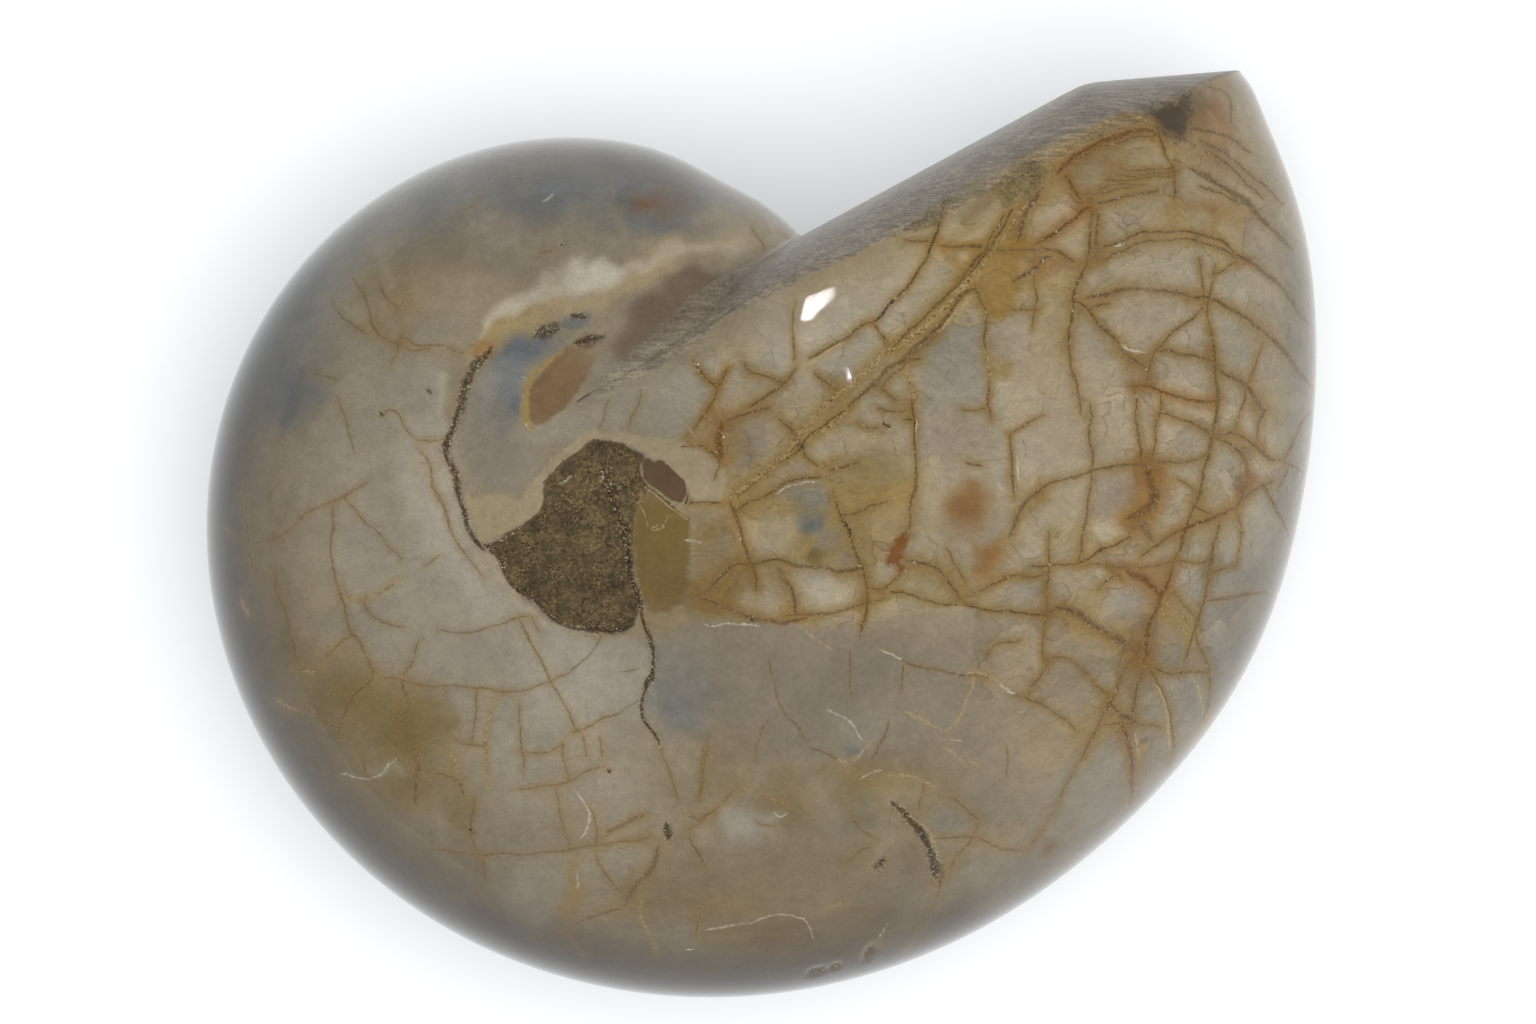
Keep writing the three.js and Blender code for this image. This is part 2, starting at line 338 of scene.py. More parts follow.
def open_rings(bands, side):
    """Rings from lip to foot, each with its row of points across the mouth."""
    flank, mouth = [], []
    for merged, row_shares in bands:
        share, radii = column_share[::merged], radii_at(row_shares)[::merged]
        for row, row_share in enumerate(row_shares):
            place = flank_points(share, radii[:, row], side)
            if row_share == 0:
                ring = add_points(place[:-1])
                ring = np.append(ring, ring[0])
                across = np.repeat(ring[0], MOUTH_COLUMNS + 2)
            else:
                ring = add_points(place)
                inner = add_points(mouth_points(place[0], place[-1]))
                across = np.concatenate([ring[-1:], inner, ring[:1]])
            flank.append(ring)
            mouth.append(across)
    return flank, mouth


upper_navel = navel_rings(8, navel_radii, 1)
upper_flank, upper_mouth = open_rings(upper_bands, 1)
lower_flank, lower_mouth = open_rings(lower_bands, -1)
lower_navel = navel_rings(8, navel_radii[::3], -1)
flank_rings = upper_navel + upper_flank + lower_flank + lower_navel[::-1]
mouth_rings = upper_mouth + lower_mouth
for rings in (flank_rings, mouth_rings):
    for inner, outer in zip(rings[:-1], rings[1:]):
        stitch(inner, outer)
points = np.concatenate(points)
triangles = np.concatenate(triangles)
a, b, c = triangles.T
triangles = triangles[(a != b) & (b != c) & (c != a)]
on_mouth = np.zeros(len(points))
for ring in mouth_rings[1:]:
    on_mouth[ring[1:-1]] = 1
print(f"skin: {len(points)} points, {len(triangles)} triangles")

# %% [markdown]
# ## The spot it rests on
#
# The lower flank is ground flat over a small spot, so the fossil lies still on a table. The
# skin is moved to the frame: the middle of its plan at zero, and the flat spot at the floor.

# %% Place the skin
REST_SPOT_DEPTH = 0.8
rest_level = points[:, 2].min() + REST_SPOT_DEPTH
points[:, 2] = np.maximum(points[:, 2], rest_level)
plan_middle = (points.min(0) + points.max(0)) / 2 * [1, 1, 0]
frame_shift = -plan_middle - [0, 0, rest_level]
print("navel in the frame, mm:", np.round(frame_shift, 2))


def corner_normals(place):
    """Unit normal of each point: the sum of the cross products of its triangles' sides."""
    p, q, r = (place[triangles[:, i]] for i in range(3))
    cross = np.cross(q - p, r - p)
    total = np.zeros_like(place)
    for corner in range(3):
        for axis in range(3):
            weights = cross[:, axis]
            total[:, axis] += np.bincount(triangles[:, corner], weights, len(place))
    return total / np.linalg.norm(total, axis=1, keepdims=True)


normals = corner_normals(points)
upper_side = points[:, 2] > 0

# %% [markdown]
# ## A chart of the stone
#
# Nobody could write a formula for where a crack ran sixty million years ago. So the marks are
# plotted on a chart: a sheet held over the fossil, ruled in squares of 0.09 mm and counted
# from its upper left corner. The eye over the sheet sees the higher parts a little larger, so
# the chart allows for it.

# %% The chart
CHART_SQUARE = 0.09
NAVEL_ON_CHART = np.array([623.0, 460.0])
CHART_MIDDLE = np.array([768.0, 512.0])
EYE_HEIGHT = 1600.0


def on_chart(place):
    """Squares across and down: millimetres over the square's size, down being minus y, and
    spread from the chart's middle by the eye's height over its height above the point."""
    flat = NAVEL_ON_CHART + place[:, :2] * [1, -1] / CHART_SQUARE
    spread = EYE_HEIGHT / (EYE_HEIGHT - place[:, 2:3])
    return CHART_MIDDLE + (flat - CHART_MIDDLE) * spread


chart = on_chart(points)
chart[~upper_side] = on_chart(points[~upper_side] * [1, 1, -1])
print("chart runs from", np.round(chart.min(0)), "to", np.round(chart.max(0)))

# %% [markdown]
# ## A facet left by the wheel
#
# A grinding wheel leaves small flats in a curved surface, and one of them catches a lamp. It
# could be a mark in the roughness, but a lamp shows a flat only where there is one. So the
# points near its middle are moved onto one plane, easing off to nothing round its edge.

# %% The facet
FACET_PLACE = np.array([819.0, 303.0])
FACET_LONG, FACET_SHORT = np.array([21.0, -16.5]), np.array([5.2, 6.6])
steps = (chart - FACET_PLACE) @ np.linalg.inv(np.stack([FACET_LONG, FACET_SHORT]))
facet = (1 - ease(np.linalg.norm(steps, axis=1), 1.0, 1.9)) * upper_side
facet_middle = points[facet > 0.9].mean(0)
facet_normal = normals[facet > 0.9].mean(0)
facet_normal /= np.linalg.norm(facet_normal)
points -= facet[:, None] * ((points - facet_middle) @ facet_normal)[:, None] * facet_normal
normals = corner_normals(points)
print("points on the facet:", int((facet > 0.9).sum()))

# %% [markdown]
# ## Nothing in stone is ruled
#
# Lines and edges drawn from point to point look cut with a knife. The shader could bend them
# all, but wide bends are cheap here: the marks are looked up on a chart that is rippled a
# little for the veins and more for the clouds.

# %% Ripples
# Each ripple has a wavelength and an amplitude in squares, and a seed of its own.
VEIN_RIPPLE, CLOUD_RIPPLES = (34, 0.8, 3), [(70, 3.0, 1), (26, 1.8, 2)]


def ripples(spots, wavelength, amplitude, seed):
    """A smooth random shift: sine waves in seven random directions, added for each axis."""
    draw = np.random.default_rng(seed)
    heading = draw.uniform(0, FULL_TURN, 14)
    wave = FULL_TURN / (wavelength * draw.uniform(0.7, 1.5, 14))
    phase = draw.uniform(0, FULL_TURN, 14)
    swing = spots[:, :1] * np.cos(heading) + spots[:, 1:] * np.sin(heading)
    waves = np.sin(swing * wave + phase)
    return np.stack([waves[:, :7].sum(1), waves[:, 7:].sum(1)], 1) * amplitude / math.sqrt(3.5)


fine_chart = chart + ripples(chart, *VEIN_RIPPLE)
cloud_chart = chart + sum(ripples(chart, *ripple) for ripple in CLOUD_RIPPLES)
print("clouds are shifted by up to", round(float(np.abs(cloud_chart - chart).max()), 1), "squares")

# %% [markdown]
# ## Distances on the chart
#
# Every mark is a line, a closed outline or an oval, and all that is asked of it is how far
# away it is. Asking only the points in the mark's own box keeps this quick.

# %% Distance helpers
def rounded(line, closed=False):
    """Cuts each corner of a line at a quarter and at three quarters of its two sides."""
    ends = line if closed else line[1:-1]
    after = np.roll(line, -1, 0) if closed else line[1:]
    before = line if closed else line[:-1]
    cut = np.stack([before * 0.75 + after * 0.25, before * 0.25 + after * 0.75], 1)
    cut = cut.reshape(-1, 2)
    return cut if closed else np.concatenate([line[:1], cut[1:-1], line[-1:]])


def near(line, reach, spots):
    """Numbers of the spots that lie within reach of the line's box on the chart."""
    low, high = line.min(0) - reach, line.max(0) + reach
    return np.flatnonzero(((spots > low) & (spots < high)).all(1))


def distance_to(line, spots):
    """Distance of each spot from a line with the sign of its side, its place along the line
    and how far past an end it lies. Past an end the line counts as running straight on."""
    start, step = line[:-1], np.diff(line, axis=0)
    size = np.linalg.norm(step, axis=1)
    gap = spots[:, None] - start
    share = (gap * step).sum(2) / size**2
    held = np.clip(share, 0, 1)
    best = np.square(gap - held[..., None] * step).sum(2).argmin(1)
    row = np.arange(len(spots))
    gap, share, held = gap[row, best], share[row, best], held[row, best]
    side = (step[best, 0] * gap[:, 1] - step[best, 1] * gap[:, 0]) / size[best]
    open_end = ((best == 0) & (share < 0)) | ((best == len(size) - 1) & (share > 1))
    off = np.linalg.norm(gap - held[:, None] * step[best], axis=1)
    past = np.where(open_end, np.abs(share - held) * size[best], 0)
    across = np.where(open_end, side, np.sign(side + 1e-9) * off)
    along = (np.cumsum(size) - size)[best] + held * size[best]
    return across, along, past, size.sum()


def depth_inside(outline, spots):
    """Distance of each spot from a closed outline: positive inside it, found by counting how
    often a ray to the right crosses it."""
    ring = np.concatenate([outline, outline[:1]])
    off, _, past, _ = distance_to(ring, spots)
    off = np.hypot(off, past)
    x, y = spots[:, :1], spots[:, 1:]
    x0, y0, x1, y1 = *ring[:-1].T, *ring[1:].T
    crosses = (y0 > y) != (y1 > y)
    meets = x0 + (y - y0) * (x1 - x0) / np.where(y1 == y0, 1e-9, y1 - y0)
    inside = (crosses & (x < meets)).sum(1) % 2 == 1
    return np.where(inside, off, -off)


def read_marks(text):
    """Each line of text is words, then places on the chart written as across,down. A line
    that starts with a space goes on with the line before it."""
    marks = []
    for line in text.strip().replace("\n ", " ").splitlines():
        parts = line.split()
        words = [part for part in parts if "," not in part]
        places = [part.split(",") for part in parts if "," in part]
        marks.append((words, np.array(places, float)))
    return marks

# %% [markdown]
# ## Clouds in the stone
#
# Under the polish the filling is not one colour. Clean calcite looks milky and blue-grey where
# it is thick; iron has stained it honey, ochre and rust, and mud makes it brown. A wash is a
# patch of one of these colours with a soft edge, laid over what is there. Washes are blended
# once for each point of the skin, which costs the shader nothing.
#
# A wash is written as its mineral, its amount, the softness of its edge in squares and the
# places of a closed outline. After the word spot come a middle and two radii instead, and
# after band: and a width the places of a line.

# %% Colours of the minerals
MINERALS = {
    "stone": (142, 132, 113), "mist": (151, 145, 132), "milk": (165, 160, 149),
    "cream": (181, 173, 155), "sand": (167, 153, 121), "honey": (164, 147, 113),
    "straw": (154, 132, 86), "tan": (146, 126, 92), "ochre": (135, 106, 58),
    "olive": (120, 104, 68), "moss": (129, 115, 87), "clay": (127, 114, 92),
    "cocoa": (111, 97, 83), "bark": (118, 92, 56), "umber": (92, 72, 46),
    "mud": (97, 85, 63), "rust": (118, 68, 32), "russet": (138, 102, 60),
    "dove": (134, 125, 111), "pewter": (139, 134, 124), "lilac": (141, 129, 115),
    "ash": (112, 113, 111), "slate": (103, 108, 117), "haze": (126, 126, 121),
    "smoke": (70, 62, 55), "saw": (140, 132, 121), "peach": (166, 148, 121),
    "ink": (56, 46, 31), "core": (82, 60, 32), "halo": (136, 110, 68), "hairline": (106, 94, 74),
    "glow": (180, 161, 116), "iron": (117, 84, 46), "vein": (113, 93, 60), "gold": (124, 101, 60),
    "lens": (124, 101, 75), "shell": (164, 151, 125), "resin": (120, 100, 62),
    "plum": (98, 81, 63), "white": (205, 200, 186),
}
MINERALS = {name: np.array(colour) / 255 for name, colour in MINERALS.items()}
print(len(MINERALS), "minerals")

# %% Washes on the chart
# Some washes are painted shade, not minerals: the umber band along the lower rim and the slate,
# ash and smoke bands along the upper rim darken those rims.
WASHES = """
clay .55 40 190,420 250,400 285,520 300,640 350,760 420,850 520,930 640,975 560,1010 380,900
 250,760 190,600
mist .8 45 330,400 400,370 445,420 450,520 500,600 560,640 640,650 655,720 620,800 520,800 430,700
 350,640 310,560 310,470
milk .55 30 520,630 600,620 645,650 645,700 590,740 520,700
haze .75 45 250,330 290,230 360,180 470,140 600,135 700,160 780,200 700,215 600,225 500,235 420,240
 350,300 290,390 230,420
pewter .35 40 330,330 400,300 440,330 400,400 330,400
ash .85 22 spot 430,200 24,30
ash .75 30 spot 545,188 50,30
slate .35 18 spot 540,195 30,18
ash .75 26 spot 290,390 32,36
slate .45 20 spot 292,395 20,18
haze .7 20 spot 305,290 26,26
ash .85 22 spot 655,180 60,34
slate .45 14 spot 625,178 18,16
slate .4 14 spot 655,224 40,12
cocoa .85 16 spot 656,203 28,12
russet .25 10 spot 645,206 16,8
ash .35 30 240,330 270,280 300,240 350,200 370,215 320,270 280,330 250,400
dove .6 26 spot 500,240 40,24
clay .45 24 spot 430,260 40,26
peach .35 18 spot 470,290 30,18
tan .45 24 spot 395,300 34,40
olive .18 14 spot 385,295 22,30
milk .3 16 spot 385,265 10,18
dove .45 20 spot 700,216 40,20
sand .25 16 spot 740,220 36,12
sand .7 13 band:20 482,343 500,330 520,318 540,305 560,299 580,298 600,293 620,282 640,272 660,262
 680,252 700,245 740,241 790,238
honey .45 10 band:12 700,248 730,243 770,240 795,238
cream .75 9 band:13 492,322 505,312 517,302 530,296 545,291 560,289 575,285 590,277 605,276 617,275
cream .7 7 565,282 590,262 617,264 620,275 600,283 575,288
tan .35 10 band:10 478,345 500,326 522,313 545,302
honey .85 50 700,380 800,290 860,250 960,200 1060,140 1180,90 1240,80 1280,200 1300,400 1290,560
 1180,560 1040,600 860,630 700,620 700,500
milk .34 40 980,280 1180,260 1280,330 1290,560 1180,640 1040,640 960,560
milk .42 50 760,380 860,290 960,230 1100,160 1200,150 1280,240 1300,400 1290,560 1180,560 1040,600
 860,610 760,600 740,480
mist .5 26 395,320 450,330 445,430 462,540 520,600 560,640 600,660 600,700 520,660 440,600 405,500
milk .45 16 425,350 450,345 440,430 450,500 480,560 520,610 500,620 455,560 425,480 415,410
milk .35 22 470,560 560,640 640,650 640,700 560,690 480,620
sand .35 30 760,330 900,260 980,300 960,420 860,440 760,400
peach .35 30 1000,330 1130,300 1200,340 1180,480 1060,480 1000,420
peach .45 26 980,560 1240,540 1230,620 1100,640 980,610
honey .5 24 960,200 1080,150 1150,200 1150,300 1040,320 960,300
honey .35 22 840,255 900,240 900,300 840,300
straw .2 20 830,260 910,235 925,285 850,310
peach .55 20 770,350 840,335 850,375 780,395
mist .4 22 660,370 700,350 770,330 780,360 700,430 640,430
pewter .45 18 650,395 700,380 705,420 655,430
dove .8 14 722,425 760,418 782,440 770,470 738,478 722,455
ash .25 10 spot 748,450 16,14
haze .55 24 925,310 985,300 980,400 920,400
lilac .65 18 925,400 990,400 990,440 940,470 918,450
lilac .75 16 1095,470 1150,470 1150,512 1095,512
lilac .55 20 970,520 1010,515 1010,550 975,548
pewter .55 18 1110,580 1155,585 1150,632 1105,628
ash .2 14 1110,585 1150,590 1148,628 1110,622
lilac .6 18 1155,625 1200,620 1195,680 1160,680
lilac .7 12 1070,160 1105,155 1112,180 1085,190 1068,180
pewter .5 16 1120,200 1160,195 1165,235 1125,240
dove .3 20 1060,300 1110,290 1110,330 1060,340
peach .85 9 1045,192 1072,190 1080,215 1050,222 1038,210
sand .85 9 1130,140 1165,138 1168,160 1135,168
sand .6 9 1060,225 1095,222 1095,245 1065,250
honey .8 10 1178,198 1205,198 1205,232 1182,235
sand .95 10 1095,518 1130,515 1130,545 1095,542
cream .35 8 1100,522 1125,520 1125,538 1100,538
sand .8 9 1112,545 1140,545 1138,562 1112,560
sand .85 9 band:16 930,465 932,500 934,530
cream .35 6 band:8 931,480 933,515
sand .8 8 950,548 975,548 968,590 955,580
sand .55 12 840,432 912,425 912,470 850,478
peach .55 10 850,445 905,440 905,468 850,470
straw .8 7 838,478 912,478 912,492 885,503 842,515 832,490
tan .75 7 842,516 885,505 912,498 912,540 880,560 855,560 846,535
sand .65 20 1045,500 1085,500 1085,560 1045,560
ochre .95 9 978,250 1000,232 1022,225 1030,245 1018,290 1005,318 985,322 975,290
ochre .5 7 spot 1060,272 20,13
straw .8 9 1042,258 1082,256 1084,288 1048,290
rust .55 7 1030,258 1062,258 1066,270 1032,272
ochre .65 7 1160,203 1180,203 1180,224 1162,224
ochre .6 7 1204,205 1222,205 1222,236 1206,236
straw .8 6 988,362 1018,360 1014,374 992,378
rust .7 7 1102,158 1128,155 1126,174 1106,178
ochre .55 9 1112,348 1152,348 1150,372 1118,372
ochre .55 7 1138,520 1154,520 1152,542 1138,540
peach .6 10 spot 1040,755 18,13
russet .35 12 1190,80 1235,78 1235,106 1195,108
peach .5 10 1196,82 1230,80 1228,102 1198,104
rust .38 8 spot 1214,165 13,18
cocoa .65 9 spot 1180,122 14,14
straw .85 12 742,505 800,500 835,515 845,545 840,562 790,562 745,550
sand .45 8 band:9 745,524 800,519 820,524
milk .35 5 band:5 745,518 772,516 792,519
sand .5 8 745,548 790,545 800,562 750,562
slate .9 8 spot 812,522 13,8
pewter .8 8 spot 828,537 13,11
ash .35 9 790,486 838,486 842,505 815,515 795,508
lilac .8 6 838,546 858,548 860,566 840,566
olive .9 5 805,565 820,546 828,543 832,552 826,565
clay .75 22 702,520 735,515 745,560 740,610 700,615
tan .45 18 745,575 790,570 790,610 750,615
ochre .35 16 spot 722,600 26,16
ochre .3 12 spot 700,560 12,30
milk .7 9 797,568 830,570 835,590 825,610 800,605
sand .6 10 835,572 862,572 862,600 838,604
sand .75 10 880,590 955,592 960,604 900,612 870,612
milk .3 8 885,592 930,600 900,608
straw .6 9 905,560 950,575 965,592 930,590 905,580
russet .62 13 945,500 965,485 992,488 990,510 975,520 972,540 955,542 946,530
rust .3 9 spot 968,508 14,16
russet .75 12 975,545 998,538 1008,556 1000,578 975,582
rust .3 9 spot 988,560 10,12
russet .5 8 spot 948,572 9,7
rust .5 7 spot 1088,207 9,9
rust .55 6 spot 1240,262 9,8
rust .55 6 spot 1211,352 9,9
russet .55 7 spot 1261,408 9,9
rust .5 6 spot 1258,448 8,8
rust .6 6 spot 1246,487 10,9
umber .7 6 spot 1208,514 6,6
rust .75 8 spot 1148,472 13,13
russet .55 14 spot 1140,500 14,20
rust .7 9 spot 1136,656 14,15
umber .5 6 spot 1075,737 6,6
russet .45 14 spot 1120,640 20,14
stone .4 50 700,640 860,640 1000,620 1200,600 1260,640 1180,760 1050,860 900,920 760,930 640,900
 640,760
dove .55 40 740,650 860,640 960,615 990,640 985,760 940,800 860,790 760,760
dove .35 30 990,770 1003,830 990,870 940,860 930,800
pewter .9 10 653,640 700,638 703,700 682,722 652,725 648,690
ash .3 16 665,690 700,690 700,735 668,735
moss .45 22 spot 722,760 26,26
peach .45 30 990,640 1060,630 1100,700 1080,760 1010,760 990,700
mist .75 24 1060,770 1130,750 1150,790 1080,830
moss .6 26 835,765 960,768 965,800 900,802 840,800
olive .22 14 spot 850,775 20,12
moss .65 18 765,798 812,798 815,832 770,836
milk .7 10 722,818 745,808 778,818 772,838 738,842
mist .8 9 spot 905,795 18,12
ash .45 12 spot 865,815 20,14
ash .35 12 spot 940,820 14,14
ash .75 6 838,742 852,736 864,742 862,754 846,754
pewter .5 9 830,715 880,712 888,735 860,740 835,735
clay .7 30 760,850 860,850 880,890 800,910 760,900
clay .55 30 620,880 720,860 760,880 740,920 640,925
olive .25 24 640,885 760,880 800,900 700,915 640,912
cocoa .45 10 spot 705,735 10,10
russet .7 5 spot 1050,848 9,6
clay .85 5 702,935 712,928 735,924 755,922 770,914 785,911 798,913 808,920 813,934 808,946 790,949
 750,949 715,946
sand .65 6 band:9 716,937 742,936 756,930
tan .95 5 566,862 578,862 583,878 581,900 574,926 556,930 560,905 563,880
tan .7 9 spot 545,940 18,6
mist .5 26 500,850 560,855 555,920 505,915
mist .35 20 spot 610,860 30,20
clay .45 20 spot 600,940 34,20
pewter .35 24 500,930 640,975 720,985 700,960 600,940
clay .65 30 spot 900,925 60,26
olive .85 26 spot 342,692 34,24
olive .75 22 spot 385,722 36,34
olive .7 20 spot 425,722 28,32
olive .5 20 spot 395,752 40,22
olive .7 20 spot 408,788 28,20
tan .5 14 spot 338,652 20,12
olive .45 18 spot 280,655 22,16
olive .5 12 spot 460,815 12,20
moss .45 22 spot 440,790 24,26
milk .45 6 band:8 376,772 388,764 398,768
clay .6 34 300,720 340,740 400,820 460,880 400,870 320,800
dove .45 36 spot 240,560 30,80
pewter .75 12 466,405 474,385 486,365 500,372 508,400 516,440 522,470 510,488 498,492 482,480
 468,455 460,428
mist .7 12 522,430 545,425 570,410 600,395 640,380 700,355 700,400 700,440 660,438 600,430 570,440
 545,455 525,468 516,450
pewter .85 10 592,368 610,352 630,342 655,338 664,344 652,356 632,366 612,374 597,380
ash .5 12 470,360 500,345 560,335 575,338 540,362 520,385 516,430 500,440 480,410
slate .85 7 492,350 520,340 548,336 566,338 545,352 530,364 521,380 519,400 514,418 504,410 498,385
 492,368
slate .5 6 500,352 520,345 524,362 518,392 508,388
cocoa .85 5 610,345 626,318 640,300 655,287 668,277 684,271 700,270 716,272 730,277 740,284 728,294
 712,302 698,312 684,322 668,332 652,342 636,350 622,354
dove .55 8 588,352 600,340 612,322 628,302 642,290 650,296 640,315 630,335 610,365 590,385
dove .5 7 585,370 640,345 690,312 700,322 650,356 600,388
cream .55 5 band:11 470,352 482,338 500,322 520,308 545,297 570,288 590,281 612,277 640,268 665,257
 690,249 715,246 745,247
white .28 6 band:10 488,322 515,302 545,284 575,268 600,262 622,270 600,280 575,286
honey .45 5 band:8 545,308 580,300 610,296 640,282 665,268
rust .35 4 466,350 478,342 490,344 488,352 474,362
straw .35 10 470,345 500,322 540,310 570,300 600,300 570,316 530,330 500,345 480,360
cream .5 4 band:9 445,380 441,410 440,440 446,475 456,505 470,535 488,560 505,580 520,600 545,622
 570,634
cream .55 12 spot 768,538 26,34
straw .5 9 740,500 770,490 790,505 780,520 750,520
straw .5 12 832,475 880,468 912,478 912,500 870,512 838,500
olive .25 10 845,455 905,450 912,480 850,490
cream .5 8 745,585 800,580 860,590 872,612 830,622 780,616 745,605
ochre .4 10 690,580 725,565 740,590 720,612 690,612
umber .25 8 645,590 690,585 690,612 650,618
mist .5 14 935,520 965,520 975,560 975,595 955,590 940,560
ochre .35 8 band:16 700,540 730,520 745,545 750,575
gold .35 8 band:14 858,520 866,545 870,575 862,605
smoke .4 8 1143,112 1165,105 1190,92 1200,88 1200,138 1168,130 1150,122
rust .3 8 1192,100 1215,95 1225,120 1240,150 1225,160 1200,150 1194,125
russet .4 8 1165,190 1200,185 1240,200 1270,215 1240,225 1200,215 1165,210
russet .35 10 1195,150 1240,165 1265,190 1240,190 1205,175
milk .5 14 400,430 440,430 452,500 480,560 470,600 420,540 395,480
milk .35 25 760,330 850,280 910,290 920,330 860,380 780,390 740,370
cream .3 16 770,330 800,330 820,370 770,390
milk .35 20 1150,540 1220,540 1215,600 1160,610
milk .3 20 1000,560 1080,560 1080,600 1000,600
umber .28 22 480,905 600,940 720,955 850,940 960,895 1010,925 900,985 740,1005 600,990 460,940
milk .4 14 405,430 440,430 450,500 475,560 465,590 425,540 400,480
mist .4 20 1160,545 1210,545 1210,600 1160,610
slate .35 22 470,150 560,135 650,140 720,170 700,190 640,165 560,155 480,175
haze .3 20 270,250 310,210 330,250 290,310 260,320
white .4 7 575,262 600,255 622,270 612,280 590,282 570,278
honey .4 5 band:11 478,352 495,335 520,320 548,310 575,308
ochre .3 5 band:7 480,345 500,325 525,312
ash .35 14 262,330 285,285 310,260 320,290 300,340 280,370
clay .35 16 480,150 560,140 640,148 700,175 690,190 600,170 500,178
cream .35 12 1110,170 1160,160 1230,170 1230,200 1120,200
milk .35 14 1020,550 1080,545 1085,600 1020,600
milk .35 14 1170,545 1230,545 1215,610 1165,610
cream .35 14 840,340 900,330 910,380 850,400
cream .35 14 760,345 810,330 820,380 770,390
peach .35 12 405,430 435,430 445,470 420,480
clay .25 14 700,700 760,700 780,760 720,760
russet .6 5 1143,462 1152,468 1163,463 1162,485 1160,506 1150,518 1146,532 1130,524 1117,515
 1136,512 1148,502 1150,484
ochre .3 7 1130,450 1170,455 1172,500 1150,535 1125,528 1140,500 1136,470
russet .5 5 1130,577 1148,583 1166,578 1164,596 1162,623 1153,612 1150,596 1138,588
ochre .55 5 1057,606 1075,604 1096,612 1100,624 1126,640 1128,650 1110,646 1090,634 1068,626
umber .4 6 1122,642 1136,646 1150,640 1150,660 1142,672 1130,668 1122,656
russet .35 5 1235,446 1250,446 1266,455 1262,466 1246,460
ochre .5 5 band:9 1043,497 1030,504 1020,518 1012,536
cream .65 6 1087,519 1110,522 1135,528 1143,540 1130,552 1110,545 1092,532
cream .35 8 1095,548 1130,552 1150,560 1140,570 1105,562
gold .35 6 band:12 985,190 975,215 965,240 950,262
straw .45 7 985,250 1005,235 1020,250 1018,285 1000,312 985,300
olive .22 14 830,770 880,760 930,790 930,830 880,840 840,815
straw .3 10 840,775 900,775 925,790 880,800
milk .35 8 715,815 745,808 765,825 755,845 730,840
mist .3 14 860,820 900,815 905,850 870,855
russet .2 8 690,900 760,900 800,920 790,945 720,945
ash .4 18 1285,240 1320,300 1325,400 1315,500 1280,620 1230,700 1180,750 1200,690 1240,610
 1275,500 1290,400 1282,300
haze .3 24 1200,560 1260,520 1250,640 1200,710 1170,700 1185,630
haze .3 24 1230,250 1280,300 1290,380 1260,400 1240,330
ash .3 16 380,190 470,150 560,140 640,148 640,158 560,158 470,170 400,205 330,260 270,330 240,400
 228,400 260,310 310,240
slate .25 12 520,170 580,165 600,185 570,205 530,200
clay .3 16 520,960 620,985 740,995 860,975 860,945 740,960 620,950 540,930
cocoa .52 7 612,345 625,318 645,292 668,276 700,268 740,268 760,262 745,285 715,305 680,330 650,352
 625,362
sand .25 6 band:8 605,185 618,215 628,235
rust .3 8 spot 645,207 14,9
cocoa .45 10 spot 672,198 26,16
slate .35 8 band:12 622,190 632,218 650,230 676,228 700,205
haze .8 12 645,648 712,648 714,700 705,735 665,730 652,700
slate .25 16 spot 700,705 40,22
tan .3 8 630,600 700,600 700,625 640,628
milk .45 5 band:7 384,256 387,270 388,283
mist .35 6 822,705 845,712 868,740 855,748 835,735
milk .32 20 760,290 880,270 960,260 985,330 985,400 920,420 840,400 780,370 740,330
milk .3 14 1030,215 1160,140 1180,250 1120,320 1040,315
milk .32 14 1030,560 1120,560 1235,560 1215,625 1060,615
milk .3 12 spot 500,375 25,18
milk .3 12 spot 712,378 26,16
milk .28 14 spot 430,442 28,24
milk .25 14 spot 920,440 34,24
milk .2 14 spot 1200,300 30,60
russet .35 12 1165,100 1215,95 1230,130 1215,170 1180,165
clay .3 18 680,850 740,850 800,905 900,885 940,850 965,870 890,935 780,958 700,955
cocoa .2 14 760,930 860,910 900,915 850,950 770,960
olive .14 14 spot 785,792 26,22
clay .25 14 spot 920,862 28,18
ash .35 14 600,150 690,160 700,178 650,175 600,165
haze .35 14 250,320 290,260 310,270 300,330 260,360
clay .25 16 212,400 235,380 245,440 238,520 215,520
milk .25 14 880,240 960,290 930,330 860,400 800,380 840,300
tan .3 5 band:6 470,345 466,370 458,395 452,420
olive .15 14 spot 375,285 24,34
mist .35 8 spot 560,365 8,20
honey .4 9 band:22 977,267 940,311 888,352 840,394 797,438 747,486
milk .35 12 spot 1200,585 24,22
milk .35 12 spot 1060,580 28,20
peach .35 14 spot 1130,225 40,24
sand .35 14 spot 1130,165 34,20
peach .3 14 spot 1200,160 22,24
smoke .15 12 600,148 700,158 720,178 650,174 600,162
smoke .14 14 spot 285,300 20,26
bark .2 12 690,935 860,910 900,915 860,955 740,965
cocoa .3 14 spot 920,862 30,18
cocoa .25 14 spot 712,862 30,18
gold .2 14 spot 785,792 28,22
milk .3 12 spot 430,440 24,22
milk .3 12 spot 712,374 24,14
milk .22 10 spot 500,232 30,18
milk .25 14 spot 360,300 26,26
milk .25 12 spot 860,375 30,18
milk .25 12 spot 570,300 24,14
"""

# %% Paint the washes
paint = np.tile(MINERALS["stone"], (len(points), 1))
WASH_REACH = 12
# A wash grows softer and fainter on the steep side, where the chart's squares are stretched.
SIDE_SLOPE, SIDE_SOFTNESS, SIDE_FADING = 0.40, 40.0, 0.5
side_share = ease(SIDE_SLOPE - normals[:, 2], 0.0, SIDE_SLOPE)


